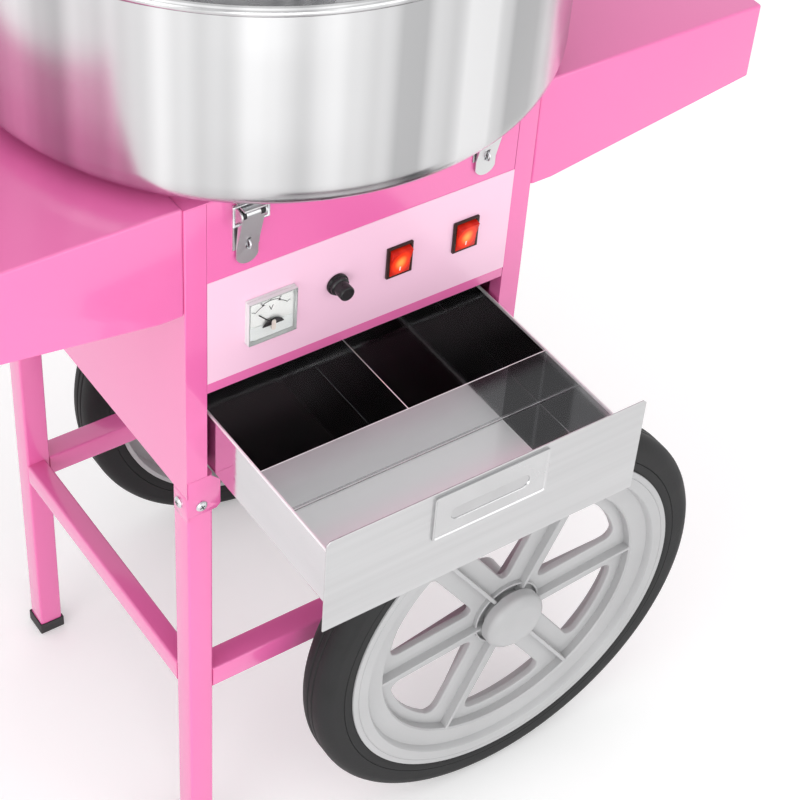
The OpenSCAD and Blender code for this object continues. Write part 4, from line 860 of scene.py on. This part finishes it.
# Drive below the deck: motor, pulleys and belt, slip rings and brushes, none of them seen with
# the panels on.
motor_paint = finish("motor_enamel", (0.03, 0.034, 0.042), (0.045, 0.05, 0.06), 0, (0.35, 0.5), 20, 400,
                     0.0001)
brass = finish("pivot_brass", (0.55, 0.38, 0.14), (0.66, 0.48, 0.2), 1, (0.25, 0.35), 300, 1500, 0.00003)
dress(motor_paint, "motor")
dress(zinc, "spindle_bearings")
dress(alloy, "spindle_pulley", "motor_pulley")
dress(brass, "slip_rings")
dress(black_plastic, "brush_gear")
dress(rubber, "drive_belt")

# Cable gland: a black nylon gland with a hexagon collar, let into the back panel where a lead
# would pass.
eased("cable_gland", black_plastic, "cart", 0.0006, 2)

# Studio: a pale floor that keeps the shadow, a white surround, soft lamps from the left, the
# front, above and low down, and a camera that looks down on the front left corner.
floor_glow, world_light = 0.22, 0.8


def seen_rays(tree):
    """A socket that is 1 for what the camera sees, also in a reflection or through glass."""
    path = tree.nodes.new("ShaderNodeLightPath")
    seen = tree.nodes.new("ShaderNodeMath")
    seen.operation = "MAXIMUM"
    tree.links.new(path.outputs["Is Camera Ray"], seen.inputs[0])
    tree.links.new(path.outputs["Is Glossy Ray"], seen.inputs[1])
    through = tree.nodes.new("ShaderNodeMath")
    through.operation = "MAXIMUM"
    tree.links.new(seen.outputs[0], through.inputs[0])
    tree.links.new(path.outputs["Is Transmission Ray"], through.inputs[1])
    return through.outputs[0]


ground = bpy.data.materials.new("studio_floor")
ground.use_nodes = True
tree = ground.node_tree
shader = tree.nodes["Principled BSDF"]
shader.inputs["Base Color"].default_value = (0.9, 0.9, 0.9, 1)
shader.inputs["Roughness"].default_value = 0.9
lift = tree.nodes.new("ShaderNodeMapRange")
lift.inputs["To Max"].default_value = floor_glow
tree.links.new(seen_rays(tree), lift.inputs["Value"])
glow = tree.nodes.new("ShaderNodeEmission")
tree.links.new(lift.outputs["Result"], glow.inputs["Strength"])
both = tree.nodes.new("ShaderNodeAddShader")
tree.links.new(shader.outputs[0], both.inputs[0])
tree.links.new(glow.outputs[0], both.inputs[1])
tree.links.new(both.outputs[0], tree.nodes["Material Output"].inputs["Surface"])
bm = bmesh.new()
bmesh.ops.create_grid(bm, x_segments=1, y_segments=1, size=12, matrix=Matrix.Translation((0, 0, -0.0005)))
mesh = bpy.data.meshes.new("studio_floor")
bm.to_mesh(mesh)
bm.free()
mesh.materials.append(ground)
floor = bpy.data.objects.new("studio_floor", mesh)
bpy.context.scene.collection.objects.link(floor)

scene = bpy.context.scene
world = bpy.data.worlds.new("studio")
scene.world = world
world.use_nodes = True
tree = world.node_tree
background = tree.nodes["Background"]
background.inputs["Color"].default_value = (1, 1, 1, 1)
level = tree.nodes.new("ShaderNodeMapRange")
level.inputs["To Min"].default_value = world_light
level.inputs["To Max"].default_value = 1
tree.links.new(seen_rays(tree), level.inputs["Value"])
tree.links.new(level.outputs["Result"], background.inputs["Strength"])


def lamp(name, place, target, size, power):
    """A square soft lamp aimed at a point."""
    light = bpy.data.lights.new(name, "AREA")
    light.size = size
    light.energy = power
    made = bpy.data.objects.new(name, light)
    aim = (Vector(target) - Vector(place)).to_track_quat("-Z", "Y")
    made.matrix_world = Matrix.Translation(place) @ aim.to_matrix().to_4x4()
    scene.collection.objects.link(made)


lamp("left_lamp", (-3.2, -0.9, 1.5), (0, 0, 0.6), 2.4, 26)
lamp("front_lamp", (0.9, -3.4, 1.6), (0, 0, 0.6), 2.4, 24)
lamp("top_lamp", (-0.5, -0.6, 3.6), (0, 0, 0.6), 2.4, 12)
lamp("low_lamp", (-1.2, -2.6, 0.45), (0, 0, 0.25), 1.2, 22)

eye = bpy.data.cameras.new("photo_view")
sensor, focus_px, frame_px = 36, 2093, 800
eye.sensor_width = sensor
eye.lens = sensor * focus_px / frame_px
yaw, pitch, roll = math.radians(37.53), math.radians(42.99), math.radians(4.73)
ahead = Vector((math.sin(yaw) * math.cos(pitch), math.cos(yaw) * math.cos(pitch), -math.sin(pitch)))
right = Vector((math.cos(yaw), -math.sin(yaw), 0))
up = right.cross(ahead)
right, up = right * math.cos(roll) + up * math.sin(roll), up * math.cos(roll) - right * math.sin(roll)
camera = bpy.data.objects.new("photo_view", eye)
turn = Matrix((right, up, -ahead)).transposed().to_4x4()
camera.matrix_world = Matrix.Translation((-0.74675, -1.2075, 1.790)) @ turn
scene.collection.objects.link(camera)
scene.camera = camera
scene.view_settings.view_transform = "Standard"
